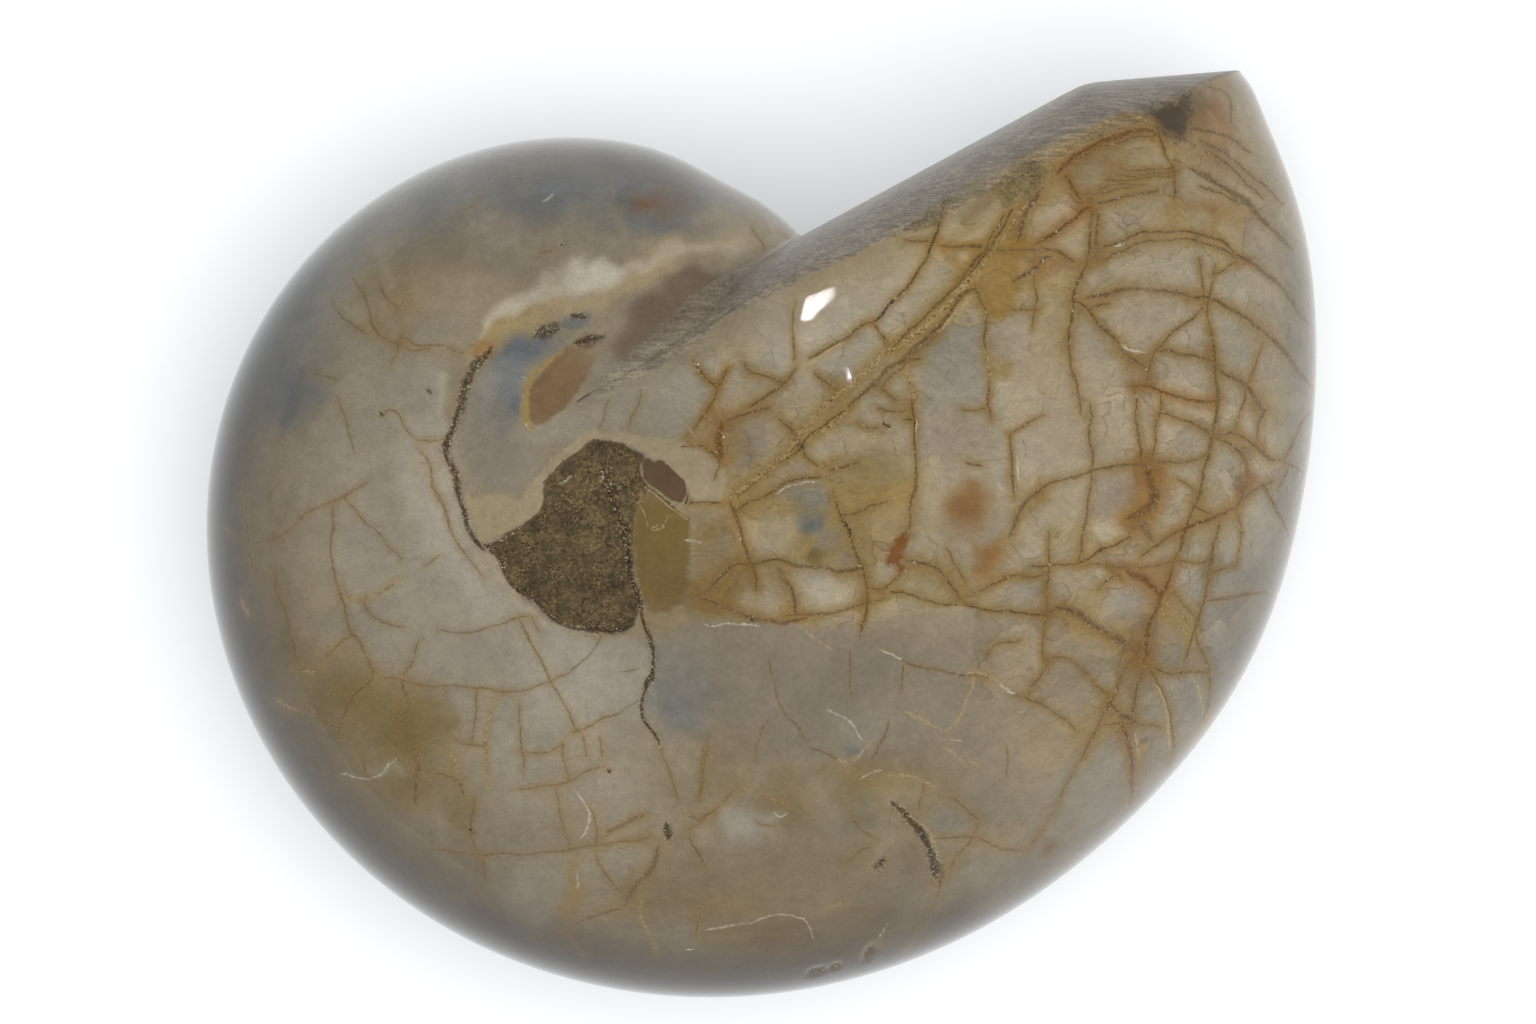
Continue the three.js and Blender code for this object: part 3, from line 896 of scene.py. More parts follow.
def cover(shape, soft, outline, spots):
    """Share of a wash at each spot: one well inside, easing to none over its soft edge."""
    if shape == "spot":
        middle, radii = outline
        size = np.linalg.norm((spots - middle) / radii, axis=1)
        return 1 - ease((size - 1) * radii.min(), -soft, soft)
    if shape.startswith("band"):
        across, _, past, _ = distance_to(outline, spots)
        half = float(shape.split(":")[1]) / 2
        return 1 - ease(np.hypot(across, past) - half, -soft, soft)
    return ease(depth_inside(outline, spots), -soft, soft)


def paint_washes(text):
    """Mixes each wash into the paint by its amount times its cover, in the order given."""
    washes = read_marks(text)
    for words, outline in washes:
        shape = words[3] if len(words) > 3 else "outline"
        if shape == "spot":
            box = np.stack([outline[0] - outline[1], outline[0] + outline[1]])
        else:
            box = outline
        found = near(box, 2 * float(words[2]) + WASH_REACH + SIDE_SOFTNESS, cloud_chart)
        if not len(found):
            print("nothing under", words)
            continue
        soft = float(words[2]) + SIDE_SOFTNESS * side_share[found]
        amount = float(words[1]) * (1 - SIDE_FADING * side_share[found])
        amount *= cover(shape, soft, outline, cloud_chart[found])
        paint[found] += amount[:, None] * (MINERALS[words[0]] - paint[found])
    print(len(washes), "washes")


paint_washes(WASHES)

# %% [markdown]
# ## Painted shade on the rim
#
# Round the left and the lower rim the paint is darkened as painted shade. It could be a long
# band of washes, but the shade follows the form: where the skin is steep and faces that way,
# the paint is darkened. It thins out again underneath.

# %% Paint shade on the rim
RIM_PAINTED_SHADE, LEFTWARDS, FOOTWARDS = 0.50, -0.75, -0.65
steep = ease(1 - normals[:, 2], 0.12, 0.75)
steep *= 1 - 0.75 * ease(-normals[:, 2], -0.25, 0.5)
painted_shade_side = ease(LEFTWARDS * normals[:, 0] + FOOTWARDS * normals[:, 1], -0.25, 0.6)
# Painted shade: the paint is darkened on the steep left and lower rim.
paint *= 1 - RIM_PAINTED_SHADE * (steep * painted_shade_side)[:, None]
print("the rim is darkened by up to", round(RIM_PAINTED_SHADE * float((steep * painted_shade_side).max()), 2))

# %% [markdown]
# ## Patches with a crisp edge
#
# Where one chamber's filling meets the next, the edge is sharp, far sharper than the points
# of the skin lie apart. So a patch is kept as two things at each point: its colour, and how
# deep the point lies inside its edge. The shader turns the depth into a crisp edge. The two
# share one attribute, as its colour and its alpha. Patches that touch go on different sheets.
#
# A patch is written as its mineral, amount, softness and outline. Numbers after fade: are the
# middle and the radius of a disc, beyond which the patch fades away.

# %% Patches on the chart
PATCHES = """
saw .95 1.6 fade:1000:150:330 596,402 608,394 622,387 640,377 655,369 668,360 680,353 690,346
 700,340 709,332 715,325 722,317 740,310 760,300 780,290 800,280 820,270 840,262 860,252 880,240
 897,231 915,220 930,211 948,197 965,187 985,175 1000,167 1020,157 1040,148 1055,140 1075,131
 1100,121 1125,113 1143,107 1165,98 1190,88 1212,80 1245,72 1240,55 1080,55 1000,95 900,150 806,205
 806,233 787,245 765,257 750,264 735,270 718,277 702,288 687,299 672,314 656,328 642,340 628,353
 614,367 602,381
lens .92 2 fade:545:385:52 529,386 536,378 545,364 559,352 573,344 590,338 606,343 604,354 594,364
 585,380 580,389 562,412 545,423 533,426 528,414 526,398
straw .9 2.2 560,350 547,358 534,368 525,380 521,395 521,412 526,428 532,430 530,412 529,398
 532,388 540,374 552,361 566,351
shell .8 2 516,503 524,495 531,485 541,473 550,460 560,451 572,442 582,435 590,430 602,432 622,433
 642,435 664,438 684,442 700,452 720,462 728,478 724,495 712,502 700,504 694,500 687,486 672,468
 655,458 645,452 628,444 604,440 590,445 570,458 552,475 545,495 540,512 528,520 518,512
sand .7 3 463,488 475,494 488,494 504,494 516,500 528,519 511,530 497,539 484,545 474,531 468,513
mud .97 1.2 486,546 500,540 511,534 518,527 529,520 536,513 540,504 543,493 547,479 556,468 565,459
 577,452 584,447 593,440 602,439 613,438 625,445 636,454 647,457 640,466 644,480 650,490 640,500
 634,520 632,545 634,570 640,590 640,610 634,626 625,629 613,631 602,630 588,628 570,626 556,621
 547,611 538,602 527,597 515,588 505,575 500,561 493,550
resin .9 3 fade:655:550:70 640,485 655,495 680,515 693,515 690,540 688,570 684,600 668,612 648,615
 640,598 635,570 633,545 634,520
plum .95 1.2 641,466 647,459 655,462 662,459 667,463 673,470 681,479 686,480 686,488 693,502
 688,505 679,502 665,497 654,488 645,479
rust .72 3.5 885,560 890,547 900,535 908,532 909,543 904,556 906,572 901,577 896,566 888,566
moss .8 1.5 895,233 940,200 947,203 945,222 935,228 915,232
olive .75 1.5 986,190 1000,200 1003,215 1012,205 1040,190 1050,170 1035,158 1010,170
dove .62 2 fade:770:625:110 622,640 640,639 655,636 668,633 684,622 700,619 722,621 745,624 768,622
 787,623 800,627 816,630 836,630 853,627 866,624 880,622 895,617 912,613 928,609 945,607 966,607
 978,612 974,640 962,680 955,720 930,745 880,760 830,765 780,760 720,750 670,730 655,700 648,670
mist .5 2 fade:668:650:50 560,636 590,641 622,642 640,641 650,660 655,690 660,720 640,725 600,700
 575,670
smoke .68 6 1143,108 1155,104 1170,100 1188,92 1192,104 1190,120 1186,134 1195,147 1180,142
 1170,132 1158,130 1150,120
smoke .6 3 535,333 545,326 556,322 560,330 550,337 540,340
slate .6 3 560,322 575,312 590,312 592,322 580,330 566,332
plum .7 2.5 576,338 590,334 604,336 600,344 588,348 578,345
russet .5 4 466,352 474,343 486,342 492,348 484,354 474,360
"""

# %% Patch sheets
PATCH_SHEETS = 5
PATCH_REACH, FAR_OUTSIDE = 16.0, -9
MUD_RECESS, GRAVELLY = 0.42, 0.7
patch_sheets = np.zeros((PATCH_SHEETS, len(points), 4))
patch_sheets[:, :, 3] = FAR_OUTSIDE
patch_taken = np.zeros((PATCH_SHEETS, len(points)), bool)
recess = np.zeros(len(points))
matte = np.zeros(len(points))
sawn = np.zeros(len(points))
takes_patches = upper_side | (on_mouth > 0)


def lay_patch(words, outline):
    """Puts a patch on the first sheet above all that it touches: its colour mixed with the
    paint beneath, and its depth in units of its own softness. A patch can fade into the paint
    away from a middle."""
    mineral, amount, soft = words[0], float(words[1]), float(words[2])
    found = near(outline, PATCH_REACH, fine_chart)
    found = found[takes_patches[found]]
    depth = depth_inside(rounded(rounded(outline, True), True), fine_chart[found])
    live = depth > -3 - 1.5 * soft
    touched = [sheet for sheet in range(PATCH_SHEETS) if patch_taken[sheet, found[live]].any()]
    sheet = max(touched, default=-1) + 1
    if sheet == PATCH_SHEETS:
        print("no sheet is free for", words)
        return depth, found
    if len(words) > 3:
        *middle, radius = map(float, words[3].split(":")[1:])
        away = np.linalg.norm(fine_chart[found] - middle, axis=1) - radius
        amount = amount * (1 - ease(away, -radius / 2, radius / 2))[:, None]
    colour = paint[found] + amount * (MINERALS[mineral] - paint[found])
    free = ~patch_taken[sheet, found] & (depth / soft > patch_sheets[sheet, found, 3])
    chosen = found[free]
    patch_sheets[sheet, chosen, :3] = colour[free]
    patch_sheets[sheet, chosen, 3] = depth[free] / soft
    patch_taken[sheet, found[live]] = True
    return depth, found


for words, outline in read_marks(PATCHES):
    depth, found = lay_patch(words, outline)
    if words[0] == "mud":
        recess[found] = np.maximum(recess[found], ease(depth, -1, 7) * MUD_RECESS)
        matte[found] = np.maximum(matte[found], ease(depth, -1, 3))
    if words[0] in ("moss", "olive"):
        matte[found] = np.maximum(matte[found], ease(depth, -1, 3) * GRAVELLY)
    if words[0] == "saw":
        sawn[found] = ease(depth, -1.5, 2.5)
sawn = np.maximum(sawn, on_mouth)
print("patches laid:", [int(taken.sum()) for taken in patch_taken])

# %% [markdown]
# ## Veins and cracks
#
# After burial the shell cracked, and iron-rich water filled the cracks with brown and gold
# calcite. Each vein is a line on the chart. At each point of the skin three numbers are kept:
# the distance across the nearest vein, the vein's half width there, and its tone from black
# (0) through rust, brown, ochre and gold to white (1). Veins that cross go on different
# layers, since a point can only say which vein is nearest once in each layer.
#
# A vein is written as its kind, its width in squares and its places. The kinds are k black
# and open, u umber, r rusty, b brown, s brown with a pale stain, o ochre, g a bundle of gold
# threads, t pale and w white. A w mark is no vein but a painted glint: a short white streak
# where the polish catches the light.

# %% Veins on the chart
VEINS = """
r7 1056,172 1064,164 1076,155 1090,148 1100,143 1110,137 1122,133 1136,130 1150,130 1157,135
b2 1070,164 1085,156 1100,148 1117,142 1136,138 1154,137
g3 1060,158 1074,147 1088,138 1098,128 1108,122 1120,118 1136,117 1148,121
b3 1158,120 1160,134 1163,147 1168,158 1174,168 1176,180 1176,192 1174,200
o2 1118,168 1140,170 1160,168 1176,169
b2 1114,175 1130,176 1146,173 1162,174 1178,172
b2 1104,183 1122,181 1138,178 1152,176 1172,178
o2 1094,190 1112,186 1130,183 1146,184
o2 1080,194 1098,193 1114,190 1134,187
o4 1096,203 1110,200 1124,197 1140,193 1160,190
r5 1063,176 1070,183 1076,191 1082,198
r5 1088,206 1078,213 1070,222 1060,230 1048,236 1038,243
o5 1090,212 1091,226 1091,240 1090,252 1088,262
o4 1097,214 1098,230 1098,246 1096,258
b4 1088,264 1082,274 1077,284 1074,296 1072,308 1070,322 1068,336 1067,348
b3 1003,214 997,228 990,240 984,252 975,263 965,272 955,280
u3 1016,207 1008,218 1001,231 993,244 985,256 975,268 964,280
o7 1043,188 1033,198 1026,211 1021,225 1018,240
g3 1028,200 1020,213 1010,228 1001,243 991,256 982,266 977,278
b3 976,284 979,296 983,306 985,318 986,334 987,350
g3 986,352 988,364 989,376
b3 989,380 989,395 988,408 991,420
b3 1018,250 1034,250 1048,249 1058,252 1067,257 1076,263
o5 1012,284 1028,273 1040,265 1050,257
b2 1034,275 1035,290 1035,305 1033,319 1032,331
b2 948,246 962,247 976,248 990,250 1005,250 1018,251
b3 1104,248 1120,240 1135,235 1150,232 1165,230 1185,232 1200,235 1212,237 1225,244 1237,255
s6 1237,255 1247,261 1260,267 1272,277 1285,292 1297,310 1309,325
o3 1099,261 1110,255 1125,250 1145,242 1160,240 1175,240 1190,240 1205,242 1217,247 1230,254
 1242,262
w2 1114,246 1124,243
o6 1085,300 1100,296 1115,291 1130,289 1145,288 1160,290 1175,292 1190,296
b5 1188,296 1205,299 1217,302 1230,307 1242,315 1255,323 1266,332
s6 1264,331 1275,343 1287,356 1298,368 1306,379 1313,389
b4 1072,300 1080,306 1088,312 1096,319 1105,330 1112,338 1120,345
w2 1122,345 1130,351 1144,350
o4 1088,312 1098,306 1110,302
b2 1198,256 1200,270 1202,285 1203,298
b2 1215,264 1214,280 1210,292 1208,303 1209,316 1210,330
b2 1240,262 1228,268 1216,275
b3 1205,308 1195,316 1184,324 1172,332 1162,341 1156,350 1151,360 1148,370 1147,380 1146,387
s4 1190,128 1205,130 1218,133 1230,138 1241,145 1252,153
s3 1200,139 1213,147 1226,155 1240,165 1255,177 1270,191 1284,205
s3 1205,151 1218,159 1230,168 1242,178 1254,190 1264,201
s6 1190,168 1205,175 1216,182 1228,190 1240,198 1252,210 1265,222 1278,235 1291,249
s3 1198,185 1214,190 1229,197 1244,205 1256,213
s3 1204,84 1216,88 1226,95 1231,108 1231,122
o4 1120,348 1130,356 1140,364 1147,374
b4 1157,350 1174,352 1188,355 1200,358 1211,361
b4 1210,330 1212,340 1213,352 1214,362 1216,375 1217,388 1217,400 1216,412 1213,426 1212,440
 1209,455 1206,468 1203,480 1200,492 1197,502
b3 1197,502 1192,513 1188,523 1183,535 1180,546 1175,560 1171,572
o6 1215,362 1222,370 1232,377 1242,382 1250,389 1256,399 1262,410
b2 1262,340 1258,355 1253,370 1249,384
r4 1132,386 1145,386 1155,388 1165,392 1178,397 1188,401 1200,402 1215,401
b3 1134,388 1136,403 1138,418 1139,431 1140,446 1140,458 1143,467
b2 1162,393 1160,406 1157,418 1155,431 1154,445 1152,458 1150,467
o4 1160,413 1172,416 1182,420 1192,424 1202,429 1214,433 1226,434 1238,436
b4 1238,435 1248,441 1256,447 1264,453 1272,460 1281,461
o4 1215,436 1225,441 1234,446 1241,454 1246,463 1249,474 1248,484 1245,494 1240,502 1235,509
b3 1240,500 1252,493 1262,487 1272,481
s4 1262,485 1270,498 1277,510 1283,523 1288,536
b2 1246,384 1245,396 1241,411 1238,426
b2 1262,411 1259,425 1256,440
s2 1310,411 1302,422 1295,435 1288,448 1284,461
s2 1284,462 1296,468 1308,474
s2 1289,469 1282,479 1276,491
r5 1234,509 1226,514 1216,517 1206,520 1196,524 1186,529 1176,534
b3 1176,534 1166,539 1157,545 1149,551 1140,557
o2 1238,510 1240,522 1240,536 1238,551 1236,564
o2 1236,565 1225,568 1212,572
b3 1222,518 1218,530 1214,545 1211,560 1208,576
b2 1174,560 1186,561 1198,563 1210,562
b2 1175,478 1185,483 1197,491
b3 1192,503 1200,509 1210,514
r9 1146,468 1152,480 1155,490 1153,500 1147,508 1139,515 1130,518
o9 1140,520 1146,530 1152,540
b4 1143,466 1130,464 1118,466 1108,469 1098,471 1088,473 1075,476 1062,480 1052,484 1043,488
o8 1041,490 1031,496 1024,505 1018,515 1013,527 1011,536
o3 1152,464 1166,462 1180,462 1193,460 1206,457
b3 1091,404 1092,418 1091,432 1091,446 1092,460 1092,475 1090,490 1088,505 1086,520 1083,535
 1080,550 1078,562
o4 1067,336 1069,352 1071,365 1074,378 1077,391 1079,404 1080,416
w2 1069,322 1068,334 1069,346
w2 1018,455 1017,470 1018,482
o3 1010,434 1011,450 1012,465 1012,480 1013,496
b2 960,408 972,410 986,409
o2 1008,433 1020,428 1032,421 1046,414
u3 966,462 973,463 981,466
b3 1078,562 1068,564 1055,566 1043,567 1028,566
u3 1078,562 1090,557 1100,551 1112,545 1122,541 1131,537
o2 1078,563 1092,565 1105,565 1118,567 1131,569 1146,568 1160,565 1173,562
b2 1106,566 1115,573 1124,580
o3 1048,530 1048,545 1049,560 1049,575 1047,590
b2 1000,576 1015,577 1030,577 1045,576
r9 1128,572 1142,577 1152,584 1158,592
r6 1170,572 1165,585 1160,598 1156,609 1150,621 1147,633 1148,645 1147,656 1143,668
o12 1058,608 1072,612 1084,618 1095,627 1108,633 1122,641 1132,650
u2 967,606 980,609 995,611 1010,611 1020,613 1035,615 1046,616
b3 1044,612 1055,609 1066,608
o3 1046,590 1046,605 1045,620 1044,635 1043,648 1044,658
b2 988,655 992,646 1005,644 1015,643 1022,639
o2 1044,661 1052,658 1062,657 1072,660 1079,667 1086,674 1093,681 1101,689 1110,697
o2 1050,662 1042,672 1035,683 1028,696
t2 958,676 972,673 985,675 998,680
w3 1000,684 1006,690 1014,693
b2 1014,694 1026,698 1038,704 1050,710 1062,717 1070,723 1076,732
o5 1127,667 1121,680 1117,690 1112,701 1106,712 1100,723 1094,735 1088,747 1083,756
o2 1083,757 1076,768 1070,780 1063,793 1056,808 1048,820 1040,834
b3 1144,668 1140,680 1136,692 1133,704 1130,716
b5 1107,702 1114,708 1120,715 1128,718 1136,722
b2 1102,725 1120,724 1135,723 1148,725 1163,728
r6 1122,726 1128,740 1131,752 1133,765 1133,778 1132,791 1129,804
t2 1135,733 1137,745 1138,758
b3 1148,667 1155,678 1161,689 1166,700 1169,712 1171,725 1173,738 1172,751 1168,765
t3 1156,684 1163,700 1166,715 1168,732 1167,748
u2 1150,664 1158,670 1170,673 1183,673 1195,672 1207,671
b4 1197,634 1198,646 1203,657 1208,669 1209,681 1209,694 1208,709 1205,722
t3 1194,678 1199,690 1202,702 1203,716
b3 1209,576 1206,588 1203,600 1199,612 1196,625 1192,638 1188,650 1185,666
s4 1208,600 1220,599 1232,596 1245,594 1260,593 1271,594
o2 1168,590 1178,598 1188,608 1196,619
g2 1164,602 1175,610 1185,618 1194,629
g2 1161,612 1172,620 1183,629 1192,639
o3 1097,591 1107,581 1118,573
s2 1008,745 1007,758 1005,776
u3 944,201 942,212 938,225 934,240 929,252 924,262 918,272 910,282 903,291 897,299
k3 897,299 890,306 882,313 873,320
b3 873,320 862,326 851,333 846,338 837,345 826,349 818,354 809,359
t4 843,343 832,350 820,357 810,364 801,372
b3 797,369 790,377 782,384 774,391 765,397 756,402 747,409
o3 745,362 748,370 756,375 766,378 776,381 784,384
b2 795,300 794,320 793,340 794,361
b2 870,322 880,333 889,343
b2 903,240 918,241 933,242
o3 941,240 945,250 951,259 957,268 963,275
b2 942,244 955,245 970,247 984,246
b4 984,251 975,262 966,271 961,281 952,291 940,299 932,309 921,319 911,328 902,337 895,343
g8 977,267 967,281 959,292 949,302 940,311 931,321 920,331 909,340 898,346 888,352 875,363 861,377
 848,388 840,394
s6 976,289 965,293 955,305 949,314 940,327 928,337 918,347 907,358 897,363 886,372 875,382 865,392
 856,400 849,407
u2 976,289 966,294 956,306 950,315 941,328 929,338
b3 903,355 912,362 922,360
t4 972,297 960,309 948,322 938,332
o3 940,333 928,345 915,355 903,367 890,378 879,389
w2 950,300 938,313 926,323
o3 815,372 823,378 830,385 838,393
g3 906,365 910,378 913,390 914,404
b2 1010,309 1025,309 1041,310
o3 879,389 890,395 901,401
b2 876,408 890,410 906,411
u3 903,420 912,421
k5 884,424 888,426
o2 854,422 862,428 872,431 880,428
b2 700,373 710,380 718,388 724,380 727,368
b2 718,388 712,399 706,411
r3 782,231 787,236 791,240
b3 752,224 759,238 764,250
g7 840,394 830,402 820,412 810,422 802,432 797,441 790,449 780,460 767,470 754,480 741,490 730,497
u2 849,407 842,411 830,420 822,427 812,433 803,444 797,451 787,459 777,464 767,472 757,480 747,488
 737,497
g4 851,405 845,412 838,420 828,428 818,434 811,438
k5 798,445 802,448
o4 797,441 792,432 786,425 780,418
b3 800,447 806,455 813,462 819,467
g3 819,468 828,463 838,458
b3 820,477 805,478 792,480 780,486 772,492 762,497 752,501 743,507 737,512
w2 816,481 800,483 788,487 777,494
b3 680,447 695,445 708,450 717,455 721,465 717,474 715,481
r8 722,423 719,434 718,446 720,456
o4 722,422 735,418 748,414 758,410 769,407
o2 684,437 692,430 702,420 713,406
b4 729,500 736,512 740,525 742,540 748,551 752,562 755,576 757,590
w3 741,536 741,541
u2 688,503 705,504 720,501
u3 912,400 913,425 916,440 917,460 916,475 913,492 911,507 910,524 905,536
w2 914,420 916,434
g3 829,482 833,493 838,505
b4 836,500 840,510 844,522 848,534 853,546 858,556 861,568 866,582 868,594 866,610 864,622 860,637
k3 843,518 847,528 850,540
b3 843,513 855,514 868,509 880,504 892,499
b3 830,471 845,468 861,462
b4 733,566 746,563 760,562 775,560 790,563 803,566 815,568 828,568 840,571 851,572 862,570
o8 779,571 788,583 794,597 795,611
o8 704,596 712,585 722,577 734,568
o5 700,598 712,603 722,606 733,609 745,614 757,618 770,621 782,623 795,621 806,618
k3 748,614 755,620
o3 785,615 800,614 815,614 828,613 840,610 852,607 863,604
w2 704,623 715,626 730,624 745,624 760,626
t2 800,630 812,637 822,643 833,648
b3 901,574 893,582 885,588 877,590 869,588
o5 905,560 920,562 933,568 943,574 950,583 957,592 961,599
b3 884,592 900,593 912,595 922,598 935,601 945,604 956,606
o3 960,597 970,595 981,591 995,583 1010,577 1026,577
b2 946,546 953,560 960,572 966,585
b2 862,604 874,602 886,598
k4 633,575 637,592 641,608 645,622 648,636 651,648 653,658
k5 653,658 652,668 650,680 646,690
k3 646,690 641,701 641,710 646,722 655,735 660,748
b2 660,748 665,760 669,775 674,788 679,802
k6 668,825 668,832 667,840
b2 606,845 620,843 632,841 643,838 651,836
b2 606,832 620,826 632,820 644,816
o2 688,830 700,822 712,812 725,800 738,787
g2 738,787 752,792 765,795 778,800 791,806
b2 699,801 703,780 706,755 709,733
b2 758,758 755,745 762,730 771,717
b2 771,655 771,669 774,685 778,700 785,712 793,722 800,732 808,741
b3 808,745 818,751 828,757 838,760
w3 829,709 842,716 853,727 861,739
t4 838,760 850,762 860,757 866,748 873,741
b3 888,722 885,735 878,748 872,759
b2 850,650 851,665 849,685 852,701
b2 904,664 902,678 899,691
t2 878,650 890,654
w2 882,652 892,655 903,660
o4 903,660 915,664 926,668 938,670 949,673 961,677 974,676 989,677
t3 974,678 971,690 966,703 963,715 955,725 945,730
t4 904,712 915,717 925,722 935,727 946,731
w2 951,740 962,742
t2 943,747 955,755 965,760 979,765
t3 888,775 905,777 920,782 936,784
w2 858,779 870,773 881,769
w2 774,812 780,818 786,812
k7 893,803 900,809 907,816 913,824 920,831 926,839 931,848
k8 931,848 934,857 936,867 937,877
t3 905,808 916,819 926,830 934,841 939,852 942,866
o4 942,866 941,880 938,893 934,905 928,918 920,930 912,943 904,953
b3 935,838 948,838 960,837 972,838 985,842 998,846 1010,848 1023,850
b3 950,799 960,804 968,810 979,819
o3 979,821 973,835 965,847 957,857 948,869
o2 1040,832 1033,842 1028,851
k8 885,858 883,863 877,867
b2 853,815 858,825 868,835 880,842
b2 919,811 922,795 927,780
b2 845,862 858,854 871,847
b2 756,821 765,827 776,826
w2 704,931 720,928 740,925 760,920 780,915 800,915 808,925 813,940
w3 686,949 693,949
w2 879,937 884,930 889,922
b3 870,953 876,944 882,935
b2 688,832 692,845 700,858 706,871
t3 1010,402 1012,425
k8 489,349 485,354 478,362 472,369 467,379 463,388 462,397 459,409 456,415 454,424 451,432 446,440
 446,446 448,455
k5 446,446 448,455 451,464 454,475 456,486 460,500 463,509 467,520 469,531 475,540 484,550
k4 485,545 493,552 500,562 505,575 515,588 527,597 538,603 547,612 556,621 570,626 588,628
k8 588,628 602,629 613,630 624,627
k3 486,546 500,540 511,534 520,526
k8 603,468 605,479 609,490 613,502 618,513 622,525 625,538 627,550
k5 627,550 629,561 632,573
t2 636,500 641,507 646,516 648,526 655,529 662,529 667,520 672,514 677,512
k2 643,482 651,489 660,497 670,505 680,512
t2 645,486 654,495 664,503 675,511 687,520
w3 560,484 566,479 571,474
w3 617,491 622,489
w3 685,540 693,540 701,543
b2 608,400 604,413 601,424 600,431
o3 642,385 639,400 634,415 629,430
b3 692,360 700,370 708,379 716,388
o2 728,365 723,378 716,390 711,405 704,415 696,425 688,437
w3 522,378 525,378
w3 525,422 529,429
b3 354,277 361,287 365,300 368,312 373,325 381,335 390,341 398,344
b2 372,278 380,289 388,297 396,304 403,312
b3 332,298 338,310 345,320 357,328 368,335
b2 403,337 412,341 420,345 428,347 440,347 452,349 464,351
b2 405,347 416,349 430,350
b2 401,330 398,345 394,358 390,368
b2 340,395 342,410 345,422 350,434 354,445 357,455
b2 311,373 325,377 338,380
b2 382,414 390,409 396,413 402,423 410,433 420,440 432,442 444,440
k4 380,413 383,414
b2 419,447 425,458 430,470 434,483 438,495 443,508 447,518 451,526
b2 368,482 358,488 345,496 332,501 320,507 308,514 298,521 290,529 281,535 272,539 262,542 250,543
 240,541 232,535 224,528
b2 343,497 352,507 362,516 372,527 382,538 392,549 401,560
b3 333,505 333,520 332,535 331,550 332,565 335,576 338,588
b3 245,485 245,505 246,525 248,545 251,560 254,576
b2 280,483 272,490 267,500
b2 424,567 432,560 441,555
k3 427,388 432,391
b2 540,253 552,250
k3 561,243 564,243
b2 482,198 466,209 455,215
w3 541,201 548,199 554,194
w2 514,177 518,177
k4 534,336 540,330 545,325
k5 541,335 549,333 558,331
k5 572,316 580,314 586,316
k5 576,342 585,340 594,337 603,336
b2 430,477 437,496 444,514 452,531 462,551 473,565 486,577
b3 338,588 342,602 346,614 349,625 352,635 358,643 363,652 368,661 372,670 373,678
b2 352,635 343,639 336,647 330,655 322,660
b3 373,678 368,684 360,689 355,695 349,704 345,713 341,722 338,736
b3 275,572 277,590 282,607 286,620 290,635 294,650 296,661
g4 241,598 245,608 251,616
g3 298,670 312,672 326,668
g3 343,598 358,598 372,596 382,591 390,584 400,577
b2 364,600 369,614 378,621 392,625 406,627
b2 382,678 395,679 405,682 415,683 430,685 445,686 460,687 475,688 490,690 501,692
o4 401,683 405,690 409,697 412,702
o3 402,700 400,715 398,730 395,747
g3 275,700 285,706 299,710
b2 302,703 312,712 322,720 333,727 341,726
o4 363,755 365,766 367,778
w2 340,775 354,777 367,779 378,775 387,768 396,760
o7 415,745 418,765 417,785 416,801
b3 432,774 445,774 455,778 462,784 465,796
b2 474,800 471,815 471,830 474,842 477,850
b2 438,848 455,852 470,855 485,856 500,854 520,854 540,853 560,851 580,848 594,846
b2 478,690 476,710 473,730 471,743
g3 493,698 490,716 487,735 485,752 487,770 487,786
b2 454,739 465,743 475,746 486,747
g7 452,756 456,772
b2 420,640 414,655 408,668 402,676
k3 471,830 472,832
b2 438,629 455,633 470,634 482,631 495,626 508,621 517,617 533,617
b3 517,618 523,630 530,642 537,654 544,666 550,678 556,690 561,700 566,710 572,721 580,733
b2 532,617 536,625 541,633
b2 499,692 512,691 525,690 537,687 548,682 560,677 572,672 579,664 586,656 593,648 599,640 603,632
b2 571,733 584,729 594,724 604,719 614,716 623,710 632,704 641,700
b2 517,752 530,753 542,753 552,750 564,745
b2 562,743 564,757 566,770 568,781
b2 517,790 532,788 545,787 557,785 567,781 578,775 592,770 606,767
k4 609,771 611,773
b2 518,700 520,725 522,750 523,771
b2 583,735 585,756
b2 601,735 602,757
b2 557,788 558,805 562,820 567,835 570,846
w3 573,787 581,796 587,806 590,818 587,830 580,839
b2 590,809 596,820 598,832 595,846
b2 602,838 612,832 622,827 633,822 644,817
u2 594,847 608,845 620,843 632,841 643,838 651,836
b2 594,855 600,866 607,876 614,885 621,894
o8 657,848 656,861 649,872 640,882 630,892 625,905
b3 625,908 612,911 600,914 588,918 577,924 565,931
w2 577,872 577,888
b2 483,860 485,880 480,895
b2 704,745 703,765 700,785 697,801
o3 689,816 700,818 713,811
b2 569,933 575,945 586,956
g3 640,895 640,914 648,930 656,951
g2 824,911 838,904 851,900
k4 812,973 824,969
k3 833,966 837,964
k6 868,957 873,949
b2 697,940 698,925 702,908
b2 620,672 632,670 640,667
"""

# %% Vein layers
VEIN_LAYERS = 8
VEIN_CAP, VEIN_CLEAR, TAPER, END_SLOPE = 7.0, 10.5, 14.0, 0.6
STAIN_WIDTHS, STAIN_MORE = 2.5, 6
GROOVE_DEPTH, GROOVE_MATTE, GROOVED_OVER = 0.22, 0.6, 3
STAIN_MARGIN, LEAST_STAIN = 2.5, 0.15
# Tone 1, the w kind, is white for painted glints.
TONES = {"k": 0.0, "u": 0.14, "r": 0.28, "b": 0.42, "s": 0.42, "o": 0.56, "g": 0.70,
         "t": 0.84, "w": 1.0}
